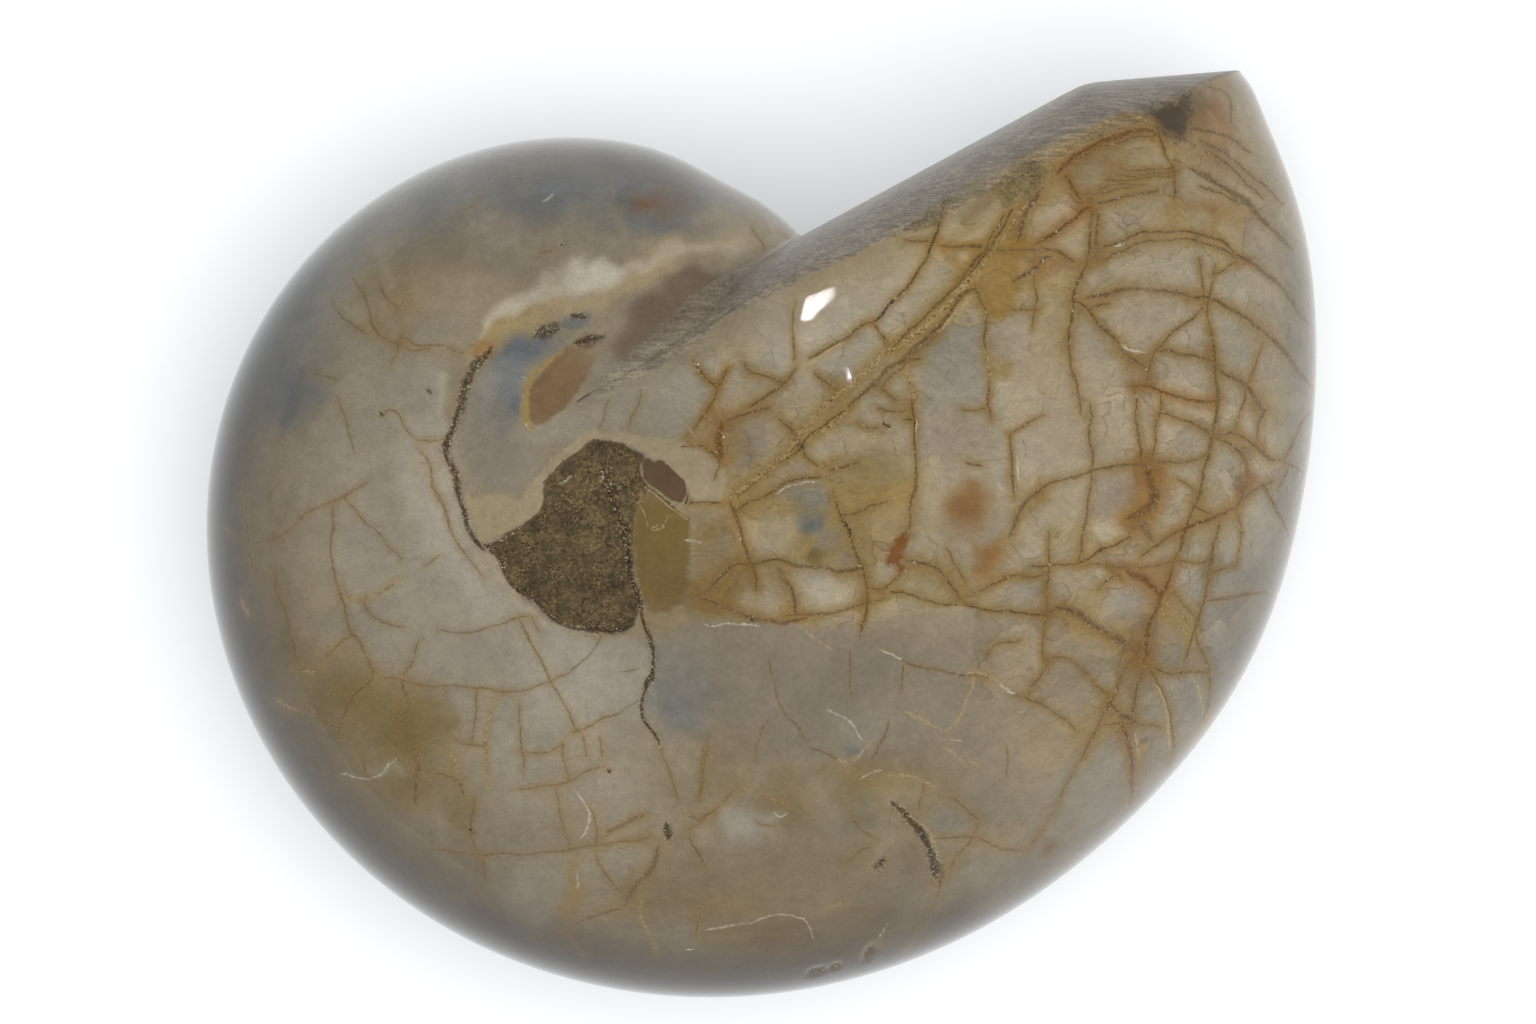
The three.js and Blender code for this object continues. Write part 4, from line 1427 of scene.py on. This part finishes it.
# Stain beside each kind of vein: its mineral, its strength and its width over the vein's.
STAINS = {"k": ("tan", 0.36, 2.2), "u": ("ochre", 0.60, 2.9), "r": ("russet", 0.68, 3.2),
          "b": ("ochre", 0.50, 2.9), "o": ("ochre", 0.50, 2.9), "g": ("straw", 0.65, 2.8),
          "t": ("sand", 0.25, 2.0), "w": ("sand", 0.0, 1.0), "s": ("tan", 0.30, 2.0)}
vein_layers = np.zeros((VEIN_LAYERS, len(points), 3))
vein_layers[:, :, 0] = VEIN_CLEAR
vein_layers[:, :, 1] = -VEIN_CLEAR
vein_taken = np.zeros((VEIN_LAYERS, len(points)), bool)


def stain_beside(kind, width, across, past, found):
    """Mixes a soft stain into the paint: its strength times a bell across the vein."""
    mineral, strength, spread = STAINS[kind]
    reach = width * spread / 2 + STAIN_MARGIN
    density = LEAST_STAIN + (1 - LEAST_STAIN) * crazing[found]
    amount = strength * bell(np.hypot(across, past) / reach) * density
    paint[found] += amount[:, None] * (MINERALS[mineral] - paint[found])


def lay_vein(kind, width, line, keep):
    """Stains the paint beside a vein and puts the vein on the first layer with room. Gives
    back one if no layer has room. Wide open cracks are also cut into the skin."""
    found = near(line, VEIN_CLEAR + STAIN_WIDTHS * width + STAIN_MORE, fine_chart)
    found = found[keep[found]]
    if not len(found):
        return 0
    across, along, past, length = distance_to(line, fine_chart[found])
    stain_beside(kind, width, across, past, found)
    if kind == "k" and width > GROOVED_OVER:
        open_part = ease(width / 2 + 2 - np.hypot(across, past), -1, 4)
        recess[found] = np.maximum(recess[found], open_part * GROOVE_DEPTH)
        matte[found] = np.maximum(matte[found], open_part * GROOVE_MATTE)
    reach = min(TAPER, 0.3 * length)
    taper = ease(np.minimum(along, length - along), -reach, reach)
    half = width / 2 * taper - past * END_SLOPE - np.maximum(np.abs(across) - VEIN_CAP, 0)
    off = np.hypot(across, past)
    body = found[off < VEIN_CLEAR - 1.0]
    for layer in range(VEIN_LAYERS):
        if not vein_taken[layer, body].any():
            break
    else:
        return 1
    own = off < VEIN_CLEAR
    chosen = found[own]
    half = np.maximum(half[own], -VEIN_CLEAR)
    tone = np.full(len(chosen), TONES[kind])
    vein_layers[layer, chosen] = np.stack([across[own], half, tone], 1)
    vein_taken[layer, chosen] = True
    return 0

# %% [markdown]
# ## Where the stone is crazed
#
# The veins crowd together towards the mouth, and there the stone between them is crazed too.
# Both stains and hair cracks follow how dense the veins are, so that density is worked out
# first. Left of the navel and below it the stone is calm.

# %% Lay the veins
CRAZING_REACH, CRAZING_FULL = 34.0, 4.0
CALM_SIDE, CALM_FOOT, CALM_END, CALMED = 660.0, 660.0, 1010.0, 0.7
OPEN_CRACKS_WIDER = 1.3
HIDDEN_CRAZING = 0.3


def crazing_of(marks):
    """How dense the veins are around each point, from 0 to 1: a bell about each, summed, and
    less in the calm parts left of the navel and below it."""
    total = np.zeros(len(points))
    for _, line in marks:
        found = near(line, 2 * CRAZING_REACH, fine_chart)
        across, _, past, _ = distance_to(line, fine_chart[found])
        total[found] += bell(np.hypot(across, past) / CRAZING_REACH)
    calm = np.maximum(ease(CALM_SIDE - fine_chart[:, 0], -60, 60),
                      ease(fine_chart[:, 1] - CALM_FOOT, -40, 60)
                      * ease(CALM_END - fine_chart[:, 0], -60, 60))
    return np.minimum(total / CRAZING_FULL, 1) * (1 - CALMED * calm)


veins = read_marks(VEINS)
crazing = crazing_of(veins)
fade_under = points[:, 2] > -1.0
left_out = 0
for words, line in sorted(veins, key=lambda mark: -len(mark[1])):
    kind, width = words[0][0], float(words[0][1:])
    if kind == "k":
        width *= OPEN_CRACKS_WIDER
    left_out += lay_vein(kind, width, rounded(line), fade_under)
vein_layers[:, :, :2] *= CHART_SQUARE

# The hidden flank has a network of its own, which the shader makes from cells.
hidden = ease(2.0 - points[:, 2], -4.0, 4.0) * (on_mouth < 0.5)
crazing = np.maximum(crazing, hidden * HIDDEN_CRAZING)
print("veins per layer:", vein_taken.sum(1), "without room:", left_out)

# %% [markdown]
# ## The skin as a mesh
#
# The skin becomes one closed mesh. Its points carry the paint, the patches and the veins as
# attributes, which the shader reads by name.

# %% Make the mesh
LAMPS_GAIN = np.array([1.25, 1.3, 1.38])
POLISH_GLARE, LEAST_SHARE = 0.012, 0.4
MILLIMETRE = 0.001


def to_linear(colour):
    """Display colour to light: (c + 0.055) / 1.055 to the power 2.4, or c / 12.92 if dark."""
    return np.where(colour <= 0.04045, colour / 12.92, ((colour + 0.055) / 1.055) ** 2.4)


def to_stone(colour):
    """The stone's own share of light: what is seen, less the polish's glare, over the gain."""
    seen = to_linear(colour)
    return np.maximum(seen - POLISH_GLARE, seen * LEAST_SHARE) / LAMPS_GAIN


def add_attribute(mesh, name, kind, values):
    """One value at each point of the mesh, as a float, a vector or a colour."""
    layer = mesh.attributes.new(name, kind, "POINT")
    field = {"FLOAT": "value", "FLOAT_VECTOR": "vector", "FLOAT_COLOR": "color"}[kind]
    layer.data.foreach_set(field, np.ascontiguousarray(values, np.float32).ravel())


def build_mesh(name, place, corners):
    """A smooth mesh from its points and triangles."""
    mesh = bpy.data.meshes.new(name)
    mesh.vertices.add(len(place))
    mesh.vertices.foreach_set("co", place.astype(np.float32).ravel())
    mesh.loops.add(corners.size)
    mesh.loops.foreach_set("vertex_index", corners.astype(np.int32).ravel())
    mesh.polygons.add(len(corners))
    mesh.polygons.foreach_set("loop_start", np.arange(0, corners.size, 3, dtype=np.int32))
    mesh.polygons.foreach_set("loop_total", np.full(len(corners), 3, np.int32))
    mesh.update(calc_edges=True)
    mesh.validate()
    mesh.polygons.foreach_set("use_smooth", np.ones(len(corners), bool))
    return mesh


def with_alpha(colour, alpha):
    """Stone's share of light in three channels, and one more number as the fourth."""
    return np.concatenate([to_stone(colour), np.reshape(alpha, (-1, 1))], 1)


placed = points + frame_shift - normals * recess[:, None] * upper_side[:, None]
placed[:, 2] = np.maximum(placed[:, 2], 0)
skin_mesh = build_mesh("nautilus_skin", placed * MILLIMETRE, triangles)
add_attribute(skin_mesh, "paint", "FLOAT_COLOR", with_alpha(paint, np.ones(len(points))))
add_attribute(skin_mesh, "matte", "FLOAT", matte)
add_attribute(skin_mesh, "sawn", "FLOAT", sawn)
add_attribute(skin_mesh, "crazing", "FLOAT", crazing)
add_attribute(skin_mesh, "hidden", "FLOAT", hidden)
for sheet in range(PATCH_SHEETS):
    values = with_alpha(patch_sheets[sheet, :, :3], patch_sheets[sheet, :, 3])
    add_attribute(skin_mesh, f"patch_{sheet}", "FLOAT_COLOR", values)
for layer in range(VEIN_LAYERS):
    add_attribute(skin_mesh, f"vein_{layer}", "FLOAT_VECTOR", vein_layers[layer])
nautilus = bpy.data.objects.new("nautilus", skin_mesh)
scene.collection.objects.link(nautilus)
print("mesh:", len(skin_mesh.vertices), "points,", len(skin_mesh.polygons), "triangles")

# %% [markdown]
# ## The polished stone
#
# The shader starts from the paint and adds what is too fine for the points of the skin: the
# crisp edges, the veins, a grain of crystals and hair cracks. Noise bends each edge and each
# vein a little, because in stone nothing is ruled.

# %% Shader helpers
stone = bpy.data.materials.new("polished_calcite")
stone.use_nodes = True
tree = stone.node_tree
tree.nodes.clear()


def node(kind, settings=None, **inputs):
    """Adds a node. Inputs are numbers, colours or other nodes' sockets, by socket name."""
    made = tree.nodes.new("ShaderNode" + kind)
    for key, value in (settings or {}).items():
        setattr(made, key, value)
    for key, value in inputs.items():
        place = int(key[1:]) if key[0] == "_" else key.replace("_", " ")
        socket = made.inputs[place]
        if isinstance(value, bpy.types.NodeSocket):
            tree.links.new(value, socket)
        else:
            socket.default_value = value
    return made


def math_node(operation, first, second=0.0, third=0.0, clamp=False):
    """One step of arithmetic on numbers or sockets."""
    settings = {"operation": operation, "use_clamp": clamp}
    return node("Math", settings, _0=first, _1=second, _2=third).outputs[0]


def product(first, *others):
    """Numbers multiplied together."""
    for other in others:
        first = math_node("MULTIPLY", first, other)
    return first


def times_plus(value, times, plus):
    """A number times a second one, plus a third."""
    return math_node("MULTIPLY_ADD", value, times, plus)


def scaled(colour, level):
    """A colour made lighter or darker by a level."""
    return node("VectorMath", {"operation": "SCALE"}, _0=colour, Scale=level).outputs[0]


def tinted(colour, tint):
    """A colour times a tint, channel by channel."""
    return node("VectorMath", {"operation": "MULTIPLY"}, _0=colour, _1=tint).outputs[0]


def mixed(amount, first, second):
    """The first colour, turning into the second by an amount."""
    made = node("Mix", {"data_type": "RGBA"}, _0=amount)
    for place, value in ((6, first), (7, second)):
        if isinstance(value, bpy.types.NodeSocket):
            tree.links.new(value, made.inputs[place])
        else:
            made.inputs[place].default_value = (*value, 1)
    return made.outputs[2]


def between(value, low, high, new_low=0.0, new_high=1.0):
    """A smooth step of a value from low to high."""
    made = node("MapRange", {"interpolation_type": "SMOOTHSTEP"}, Value=value, From_Min=low,
                From_Max=high, To_Min=new_low, To_Max=new_high)
    return made.outputs[0]


def mixed_value(amount, first, second):
    """The first number, turning into the second by an amount."""
    return node("Mix", {"data_type": "FLOAT"}, _0=amount, _2=first, _3=second).outputs[0]


def noise(scale, detail=3.0, roughness=0.5, vector=None):
    """Soft random values round a half, scale of them to the metre."""
    made = node("TexNoise", None, Vector=vector or place_on_stone, Scale=scale, Detail=detail,
                Roughness=roughness)
    return made.outputs[0]


def stored(name):
    """An attribute of the mesh."""
    return node("Attribute", {"attribute_name": name})


def palette(mineral):
    """A mineral as the shader wants it."""
    return tuple(float(c) for c in to_stone(MINERALS[mineral]))


place_on_stone = node("TexCoord").outputs["Object"]
print("colour of clean stone for the shader:", np.round(palette("stone"), 3))

# %% [markdown]
# ## Mottling
#
# Clean calcite is cloudy, with soft lighter and darker places a few millimetres across and
# finer ones between. Two layers of noise scale the paint up and down. The same cell makes
# the wobble that later bends every edge, and the specks of single crystals. The pale specks
# serve as painted glints on the veins and fibres, and as light grains in the mouth and mud.

# %% Mottling
wobble_fine = math_node("SUBTRACT", noise(2600, 2), 0.5)
wobble_wide = math_node("SUBTRACT", noise(700, 2), 0.5)
wobble = math_node("ADD", product(wobble_fine, 0.26), product(wobble_wide, 0.38))
crystals = noise(4600, 3, 0.7)
wobble = times_plus(crystals, 0.26, math_node("SUBTRACT", wobble, 0.13))
# Pale specks: painted glints on veins and fibres, light grains in the mouth and the mud.
pale_specks_and_glints = between(crystals, 0.56, 0.63)
dark_specks = between(crystals, 0.46, 0.38)
patchy = noise(330, 3, 0.6)
colour = stored("paint").outputs["Color"]
cloud_wide = between(noise(170, 4, 0.6), 0.3, 0.7, 0.91, 1.09)
cloud_fine = between(noise(900, 4, 0.7), 0.3, 0.7, 0.93, 1.07)
clouds = product(cloud_wide, cloud_fine)
colour = scaled(colour, clouds)
print(len(tree.nodes), "nodes so far")

# %% [markdown]
# ## Crazing
#
# Between the veins the stone broke into small blocks, each with a tint of its own and a hair
# crack round it. Cells of a Voronoi pattern make both, strongest where the veins are dense.
# The places are bent by noise first, so that no cell is ruled. On the hidden flank, where no
# vein is charted, the same net carries wider, stained cracks as well.

# %% Crazing
CELLS_PER_METRE, CELL_BEND = 200, (0.004, 0.004, 0.004)
crazed = stored("crazing").outputs["Fac"]
bend = node("TexNoise", None, Vector=place_on_stone, Scale=260, Detail=2).outputs["Color"]
bent = node("VectorMath", {"operation": "MULTIPLY_ADD"}, _0=bend, _1=CELL_BEND,
            _2=place_on_stone).outputs[0]
cells = node("TexVoronoi", None, Vector=bent, Scale=CELLS_PER_METRE)
cell_tint = node("SeparateColor", None, Color=cells.outputs["Color"]).outputs
cell_level = times_plus(cell_tint[0], 0.26, -0.12)
cell_level = times_plus(cell_level, crazed, 1.0)
colour = scaled(colour, cell_level)
stained = product(between(cell_tint[1], 0.6, 0.9), crazed)
colour = mixed(product(stained, 0.40), colour, palette("straw"))
edges = node("TexVoronoi", {"feature": "DISTANCE_TO_EDGE"}, Vector=bent, Scale=CELLS_PER_METRE)
hair = between(edges.outputs["Distance"], 0.0, 0.02, 1.0, 0.0)
hair = product(hair, between(wobble_wide, -0.06, 0.08), times_plus(crazed, 0.8, 0.2))
colour = mixed(product(hair, 0.36), colour, palette("umber"))
STAIN_TINT, CRACK_TINT = (0.92, 0.76, 0.50), (0.52, 0.40, 0.27)
hidden_share = stored("hidden").outputs["Fac"]
reach = between(edges.outputs["Distance"], 0.0, 0.16, 1.0, 0.0)
reach = product(reach, between(patchy, 0.38, 0.62), hidden_share)
colour = mixed(product(reach, 0.6), colour, tinted(colour, STAIN_TINT))
crack = between(edges.outputs["Distance"], 0.01, 0.05, 1.0, 0.0)
crack = product(crack, between(patchy, 0.42, 0.56), hidden_share)
colour = mixed(product(crack, 0.65), colour, tinted(colour, CRACK_TINT))
print(len(tree.nodes), "nodes so far")

# %% [markdown]
# ## Fibres and painted sparkle
#
# Calcite that filled a crack grew as fibres, which here run up to the right. They could be
# drawn one by one, but noise stretched along that bearing gives thousands. Here and there a
# bright fibre is painted cream as a sparkle, a painted glint.

# %% Fibres
FIBRE_BEARING = math.radians(35)
along_fibres = node("Mapping", None, Vector=bent, Rotation=(0, 0, -FIBRE_BEARING),
                    Scale=(0.22, 1.0, 1.0)).outputs[0]
fibres = noise(3000, 3, 0.7, along_fibres)
fibre_level = times_plus(between(fibres, 0.32, 0.68), 0.20, -0.10)
fibre_share = times_plus(crazed, 0.75, 0.25)
fibre_level = times_plus(fibre_level, fibre_share, 1.0)
grain_level = between(crystals, 0.35, 0.65, 0.94, 1.06)
colour = scaled(colour, product(fibre_level, grain_level))
# Painted glint: here and there a fibre is painted cream as if it caught the light.
painted_sparkle = product(between(fibres, 0.58, 0.66), pale_specks_and_glints)
painted_sparkle = product(painted_sparkle, between(patchy, 0.48, 0.62), crazed)
colour = mixed(product(painted_sparkle, 0.55), colour, palette("cream"))
print(len(tree.nodes), "nodes so far")

# %% [markdown]
# ## Crisp edges
#
# Each sheet of patches covers what is under it wherever its stored depth is above nothing.
# The wobble is added to the depth first, so the edge is as uneven as in the stone.

# %% Crisp edges
EDGE_WOBBLE = 11.0
grit = noise(2300, 3, 0.7)
patch_level = product(clouds, between(grit, 0.34, 0.66, 0.94, 1.05))
for sheet in range(PATCH_SHEETS):
    patch = stored(f"patch_{sheet}")
    depth = times_plus(wobble, EDGE_WOBBLE, patch.outputs["Alpha"])
    inside = between(depth, -1, 1)
    colour = mixed(inside, colour, scaled(patch.outputs["Color"], patch_level))
print(len(tree.nodes), "nodes so far")

# %% [markdown]
# ## Which vein shows
#
# A vein is a filled crack, from a hair to a millimetre wide, and it swells and pinches. Its
# half width swells by noise here, and the wobble bends it. Of all the layers, the vein that
# the place lies deepest inside is the one that shows, so crossings join without a seam.

# %% Choose the vein
# White at the top of the ramp colours the w marks, which are painted glints.
TONE_COLOURS = [("ink", 0.0), ("umber", 0.14), ("iron", 0.28), ("vein", 0.42), ("lens", 0.56),
                ("ochre", 0.70), ("glow", 0.84), ("white", 1.0)]
# How grainy each tone is: open cracks and gold bundles are packed with crystals.
GRAIN_SHARES = [(1.0, 0.0), (0.7, 0.14), (0.5, 0.28), (0.5, 0.42), (0.5, 0.56),
                (1.0, 0.70), (0.5, 0.84), (0.0, 1.0)]


def ramp_of(factor, stops):
    """A colour ramp through (colour, position) stops."""
    ramp = node("ValToRGB", None, Fac=factor)
    for _ in range(len(stops) - 2):
        ramp.color_ramp.elements.new(0.5)
    for element, (value, position) in zip(ramp.color_ramp.elements, stops):
        element.position = position
        element.color = (*value, 1)
    return ramp.outputs[0]


swelling = times_plus(patchy, 1.5, 0.10)
swelling = product(swelling, times_plus(wobble_fine, 1.8, 0.8))
best = None
for layer in range(VEIN_LAYERS):
    stored_vein = stored(f"vein_{layer}").outputs["Vector"]
    parts = node("SeparateXYZ", None, Vector=stored_vein).outputs
    across = math_node("ABSOLUTE", math_node("ADD", parts[0], wobble))
    inner = times_plus(parts[1], swelling, product(across, -1.0))
    this = (inner, parts[1], parts[2])
    if best is None:
        best = this
        continue
    deeper = math_node("GREATER_THAN", inner, best[0])
    best = (math_node("MAXIMUM", inner, best[0]), mixed_value(deeper, best[1], parts[1]),
            mixed_value(deeper, best[2], parts[2]))
inner, half_width, tone_place = best
print(len(tree.nodes), "nodes so far")

# %% [markdown]
# ## How a vein looks
#
# Up close a vein is a line of crystals with a ragged edge, not a stripe. An open crack is
# the most ragged, a pale vein is a string of bright crystals with gaps, a brown one has a
# thin dark crack in its middle and painted glints in stretches, and a gold bundle has threads.
# Grainy veins also get pale specks painted in as glints. Iron has also crept out into the
# stone as a halo. In the calm parts veins are faint.

# %% Colour the veins
soft = times_plus(half_width, 0.45, 0.05)
soft = math_node("MAXIMUM", soft, 0.05)
amount = math_node("ADD", math_node("DIVIDE", inner, soft), 0.7)
granular = product(math_node("SUBTRACT", crystals, 0.5), 5.0)
open_crack = between(tone_place, 0.1, 0.03)
ragged = times_plus(open_crack, 0.75, 0.25)
amount = math_node("ADD", amount, product(granular, ragged), clamp=True)
# Pale veins are strings of bright crystals, with gaps between them.
broken = between(grit, 0.42, 0.56, 0.35, 1.0)
pale = between(tone_place, 0.76, 0.82)
amount = product(amount, mixed_value(pale, 1.0, broken))
# Where veins are few, they are faint too.
strength = times_plus(crazed, 0.34, 0.44)
strength = math_node("MAXIMUM", strength, product(open_crack, 0.92))
tone = ramp_of(tone_place, [(palette(m), p) for m, p in TONE_COLOURS])
greyed = product(between(crazed, 0.5, 0.1), between(tone_place, 0.8, 0.7))
tone = mixed(product(greyed, 0.6), tone, palette("hairline"))
grain = ramp_of(tone_place, [((g,) * 3, p) for g, p in GRAIN_SHARES])
# Painted glints: pale specks in the grainy veins are painted cream.
tone = mixed(product(grain, pale_specks_and_glints), tone, palette("cream"))
# The middle of a brown vein is a thin dark crack.
thickness = product(half_width, swelling)
core = between(math_node("DIVIDE", inner, math_node("MAXIMUM", thickness, 0.02)), 0.35, 0.8)
core = product(core, between(tone_place, 0.68, 0.62), between(wobble_wide, -0.12, 0.06))
tone = mixed(product(core, 0.7), tone, palette("core"))
# A gold bundle has bright threads instead.
bundle = product(between(tone_place, 0.62, 0.68), between(tone_place, 0.78, 0.72))
threads = product(bundle, between(fibres, 0.42, 0.54))
tone = mixed(product(threads, 0.65), tone, palette("glow"))
tone = mixed(product(grain, dark_specks, 0.8), tone, palette("ink"))
# Painted glints: crystals along the brown veins are painted cream in stretches, as if they
# glittered.
painted_glitter = product(between(grit, 0.58, 0.64), between(wobble_wide, 0.02, 0.10))
painted_glitter = product(painted_glitter, crazed, between(tone_place, 0.1, 0.2))
tone = mixed(product(painted_glitter, 0.85), tone, palette("cream"))
# A halo of stain reaches a few vein widths out on each side.
outside = math_node("SUBTRACT", thickness, inner)
halo = math_node("DIVIDE", outside, times_plus(half_width, 3.0, 0.25))
halo = math_node("SUBTRACT", 1.0, halo, clamp=True)
halo = product(halo, between(half_width, 0.0, 0.06), between(tone_place, 0.8, 0.7))
halo = product(halo, times_plus(crazed, 0.42, 0.06))
colour = mixed(product(halo, 0.85), colour, palette("halo"))
colour = mixed(product(amount, strength), colour, tone)
print(len(tree.nodes), "nodes so far")

# %% [markdown]
# ## The sawn mouth and the mud
#
# The mouth was only sawn, never polished, so fine streaks run along the cut: noise stretched
# eight times along the mouth's bearing. The plug in the navel is set mud and sand, so it is
# lumpy and full of light and dark grains. Both are dull, and the grains stand out as bumps.

# %% The sawn mouth
along_cut = node("Mapping", None, Vector=place_on_stone, Rotation=(0, 0, -MOUTH_BEARING),
                 Scale=(0.12, 1.0, 1.0)).outputs[0]
sawn_share = stored("sawn").outputs["Fac"]
streaks = between(noise(1700, 3, 0.6, along_cut), 0.32, 0.68, 0.74, 1.16)
fine_streaks = between(noise(5200, 2, 0.6, along_cut), 0.3, 0.7, 0.78, 1.18)
streaked = scaled(colour, product(streaks, fine_streaks))
streaked = mixed(product(pale_specks_and_glints, 0.22), streaked, palette("milk"))
streaked = mixed(product(dark_specks, 0.45), streaked, palette("mud"))
colour = mixed(sawn_share, colour, streaked)
print(len(tree.nodes), "nodes so far")

# %% The mud
matte_share = stored("matte").outputs["Fac"]
lumps = between(noise(520, 5, 0.75), 0.32, 0.68, 0.68, 1.34)
lumps = product(lumps, between(grit, 0.36, 0.64, 0.74, 1.26))
muddy = scaled(colour, lumps)
light_grains = product(pale_specks_and_glints, between(noise(900, 2), 0.45, 0.62, 0, 0.8))
dark_grains = product(dark_specks, between(noise(800, 2), 0.45, 0.6, 0, 0.9))
muddy = mixed(light_grains, muddy, palette("straw"))
muddy = mixed(dark_grains, muddy, palette("ink"))
colour = mixed(matte_share, colour, muddy)
print(len(tree.nodes), "nodes so far")

# %% [markdown]
# ## Finish of the surface
#
# Polished calcite is nearly a mirror, and what is sawn or muddy is dull and pitted. One share
# drives the roughness and the height of the pits. The gloss is kept a little under glass's,
# since a hand-worn polish is never perfect.

# %% Finish
POLISHED_ROUGHNESS, DULLER_BY, PIT_DEPTH = 0.07, 0.5, 0.0003
CALCITE_IOR, GLOSS = 1.5, 0.32
rough_share = math_node("MAXIMUM", matte_share, product(sawn_share, 0.5))
pits = product(crystals, rough_share)
bump = node("Bump", None, Strength=0.5, Distance=PIT_DEPTH, Height=pits)
roughness = times_plus(rough_share, DULLER_BY, POLISHED_ROUGHNESS)
surface = node("BsdfPrincipled", None, Base_Color=colour, Roughness=roughness,
               IOR=CALCITE_IOR, Normal=bump.outputs[0])
surface.inputs["Specular IOR Level"].default_value = GLOSS
node("OutputMaterial", None, Surface=surface.outputs[0])
skin_mesh.materials.append(stone)
print(len(tree.nodes), "nodes in all")

# %% [markdown]
# ## Table
#
# The fossil lies on a plain white table, which is only a stage. It glows a little, so that
# it stays white and the shadow on it is faint.

# %% The table
TABLE_HALF, TABLE_GLOW = 3.0, 0.2
TABLE_WHITE, GLOW_WHITE = (0.9, 0.91, 0.93, 1), (0.95, 0.98, 1.0, 1)
table_points = np.array([[-1, -1, 0], [1, -1, 0], [1, 1, 0], [-1, 1, 0]]) * TABLE_HALF
table_mesh = bpy.data.meshes.new("table")
table_mesh.from_pydata(table_points.tolist(), [], [(0, 1, 2, 3)])
table = bpy.data.objects.new("table", table_mesh)
scene.collection.objects.link(table)
white = bpy.data.materials.new("white_table")
white.use_nodes = True
white_surface = white.node_tree.nodes["Principled BSDF"]
white_surface.inputs["Base Color"].default_value = TABLE_WHITE
white_surface.inputs["Roughness"].default_value = 0.9
white_surface.inputs["Specular IOR Level"].default_value = 0.1
white_surface.inputs["Emission Color"].default_value = GLOW_WHITE
white_surface.inputs["Emission Strength"].default_value = TABLE_GLOW
table_mesh.materials.append(white)
print("table", 2 * TABLE_HALF, "metres wide")

# %% [markdown]
# ## Light
#
# Polished things are shot in a white tent, so that the polish reflects no room. Here the tent
# is the world: dimmer straight above, where the polish would mirror it into the camera, and
# brighter towards the horizon. A wide polarised lamp overhead adds light without adding a
# reflection. The node helpers work on the tree in hand, which is now the world's.

# %% Light of the tent
SIDE_LIGHT, TOP_LIGHT, HORIZON_LIGHT = 0.5, 0.3, 0.35
EAST_SLANT, NORTH_SLANT = 0.14, -0.10
TENT_WHITE = (0.94, 0.975, 1.0, 1)
SOFT_LAMP_PLACE, SOFT_LAMP_SIZE, SOFT_LAMP_POWER = (0.12, -0.1, 1.4), (1.5, 1.5), 20
world = bpy.data.worlds.new("tent")
world.use_nodes = True
tree = world.node_tree
background = tree.nodes["Background"]
direction = node("TexCoord").outputs["Generated"]
parts = node("SeparateXYZ", None, Vector=direction).outputs
level = between(parts[2], 0.62, 0.93, SIDE_LIGHT, TOP_LIGHT)
level = math_node("ADD", level, between(parts[2], 0.0, 0.4, HORIZON_LIGHT, 0.0))
slant = times_plus(parts[0], EAST_SLANT, 1.0)
slant = times_plus(parts[1], NORTH_SLANT, slant)
background.inputs[0].default_value = TENT_WHITE
tree.links.new(product(level, slant), background.inputs[1])
scene.world = world


def add_lamp(name, place, aim, size, power, spread):
    """A rectangular lamp that faces the point aim."""
    lamp = bpy.data.lights.new(name, "AREA")
    lamp.shape = "RECTANGLE"
    lamp.size, lamp.size_y = size
    lamp.energy = power
    lamp.spread = spread
    holder = bpy.data.objects.new(name, lamp)
    holder.location = place
    direction = np.subtract(aim, place)
    turn = math.atan2(direction[1], direction[0])
    tilt = math.acos(direction[2] / np.linalg.norm(direction))
    holder.rotation_euler = (0, math.pi - tilt, turn + math.pi)
    scene.collection.objects.link(holder)
    return holder


soft_lamp = add_lamp("soft_lamp", SOFT_LAMP_PLACE, (0, 0, 0), SOFT_LAMP_SIZE,
                     SOFT_LAMP_POWER, math.pi)
soft_lamp.visible_glossy = False
print("soft lamp", SOFT_LAMP_PLACE[2], "metres up")

# %% [markdown]
# ## The glint
#
# One small lamp leaves a bright spot on the polish, at the facet. A sight line that comes
# straight down and is turned over by the facet's normal runs to where the lamp must be. Its
# beam is so narrow that no other place with the same slope can catch it.

# %% The glint lamp
GLINT_LAMP_DISTANCE, GLINT_LAMP_SIZE = 1.0, 0.016
GLINT_SPREAD, GLINT_POWER = math.radians(0.9), 1.3e-5
mirrored = 2 * facet_normal[2] * facet_normal - [0, 0, 1]
glint_spot = (facet_middle + frame_shift) * MILLIMETRE
lamp_place = glint_spot + mirrored * GLINT_LAMP_DISTANCE
glint_lamp = add_lamp("glint_lamp", lamp_place, glint_spot, (GLINT_LAMP_SIZE,) * 2,
                      GLINT_POWER, GLINT_SPREAD)
print("glint lamp at", np.round(lamp_place, 3))

# %% [markdown]
# ## Camera
#
# The camera is the eye over the chart: straight above the chart's middle, with a lens so long
# that the stone shows hardly any perspective, as in a catalogue of fossils.

# %% The camera
LENS, SENSOR = 416.7, 36.0
camera_data = bpy.data.cameras.new("camera")
camera_data.lens, camera_data.sensor_width = LENS, SENSOR
camera = bpy.data.objects.new("camera", camera_data)
middle = (CHART_MIDDLE - NAVEL_ON_CHART) * CHART_SQUARE * [1, -1]
camera.location = (*((middle + frame_shift[:2]) * MILLIMETRE),
                   (EYE_HEIGHT + frame_shift[2]) * MILLIMETRE)
camera_data.clip_start, camera_data.clip_end = 0.1, 20
scene.collection.objects.link(camera)
scene.camera = camera
scene.view_settings.view_transform = "Standard"
print("camera at", np.round(camera.location, 4))

# %% [markdown]
# ## Tie it to the frame
#
# The fossil is one piece: it rides on the part's only body and stands in for its only solid.

# %% Tie it to the frame
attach(nautilus, "root")
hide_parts("fossil_nautilus")
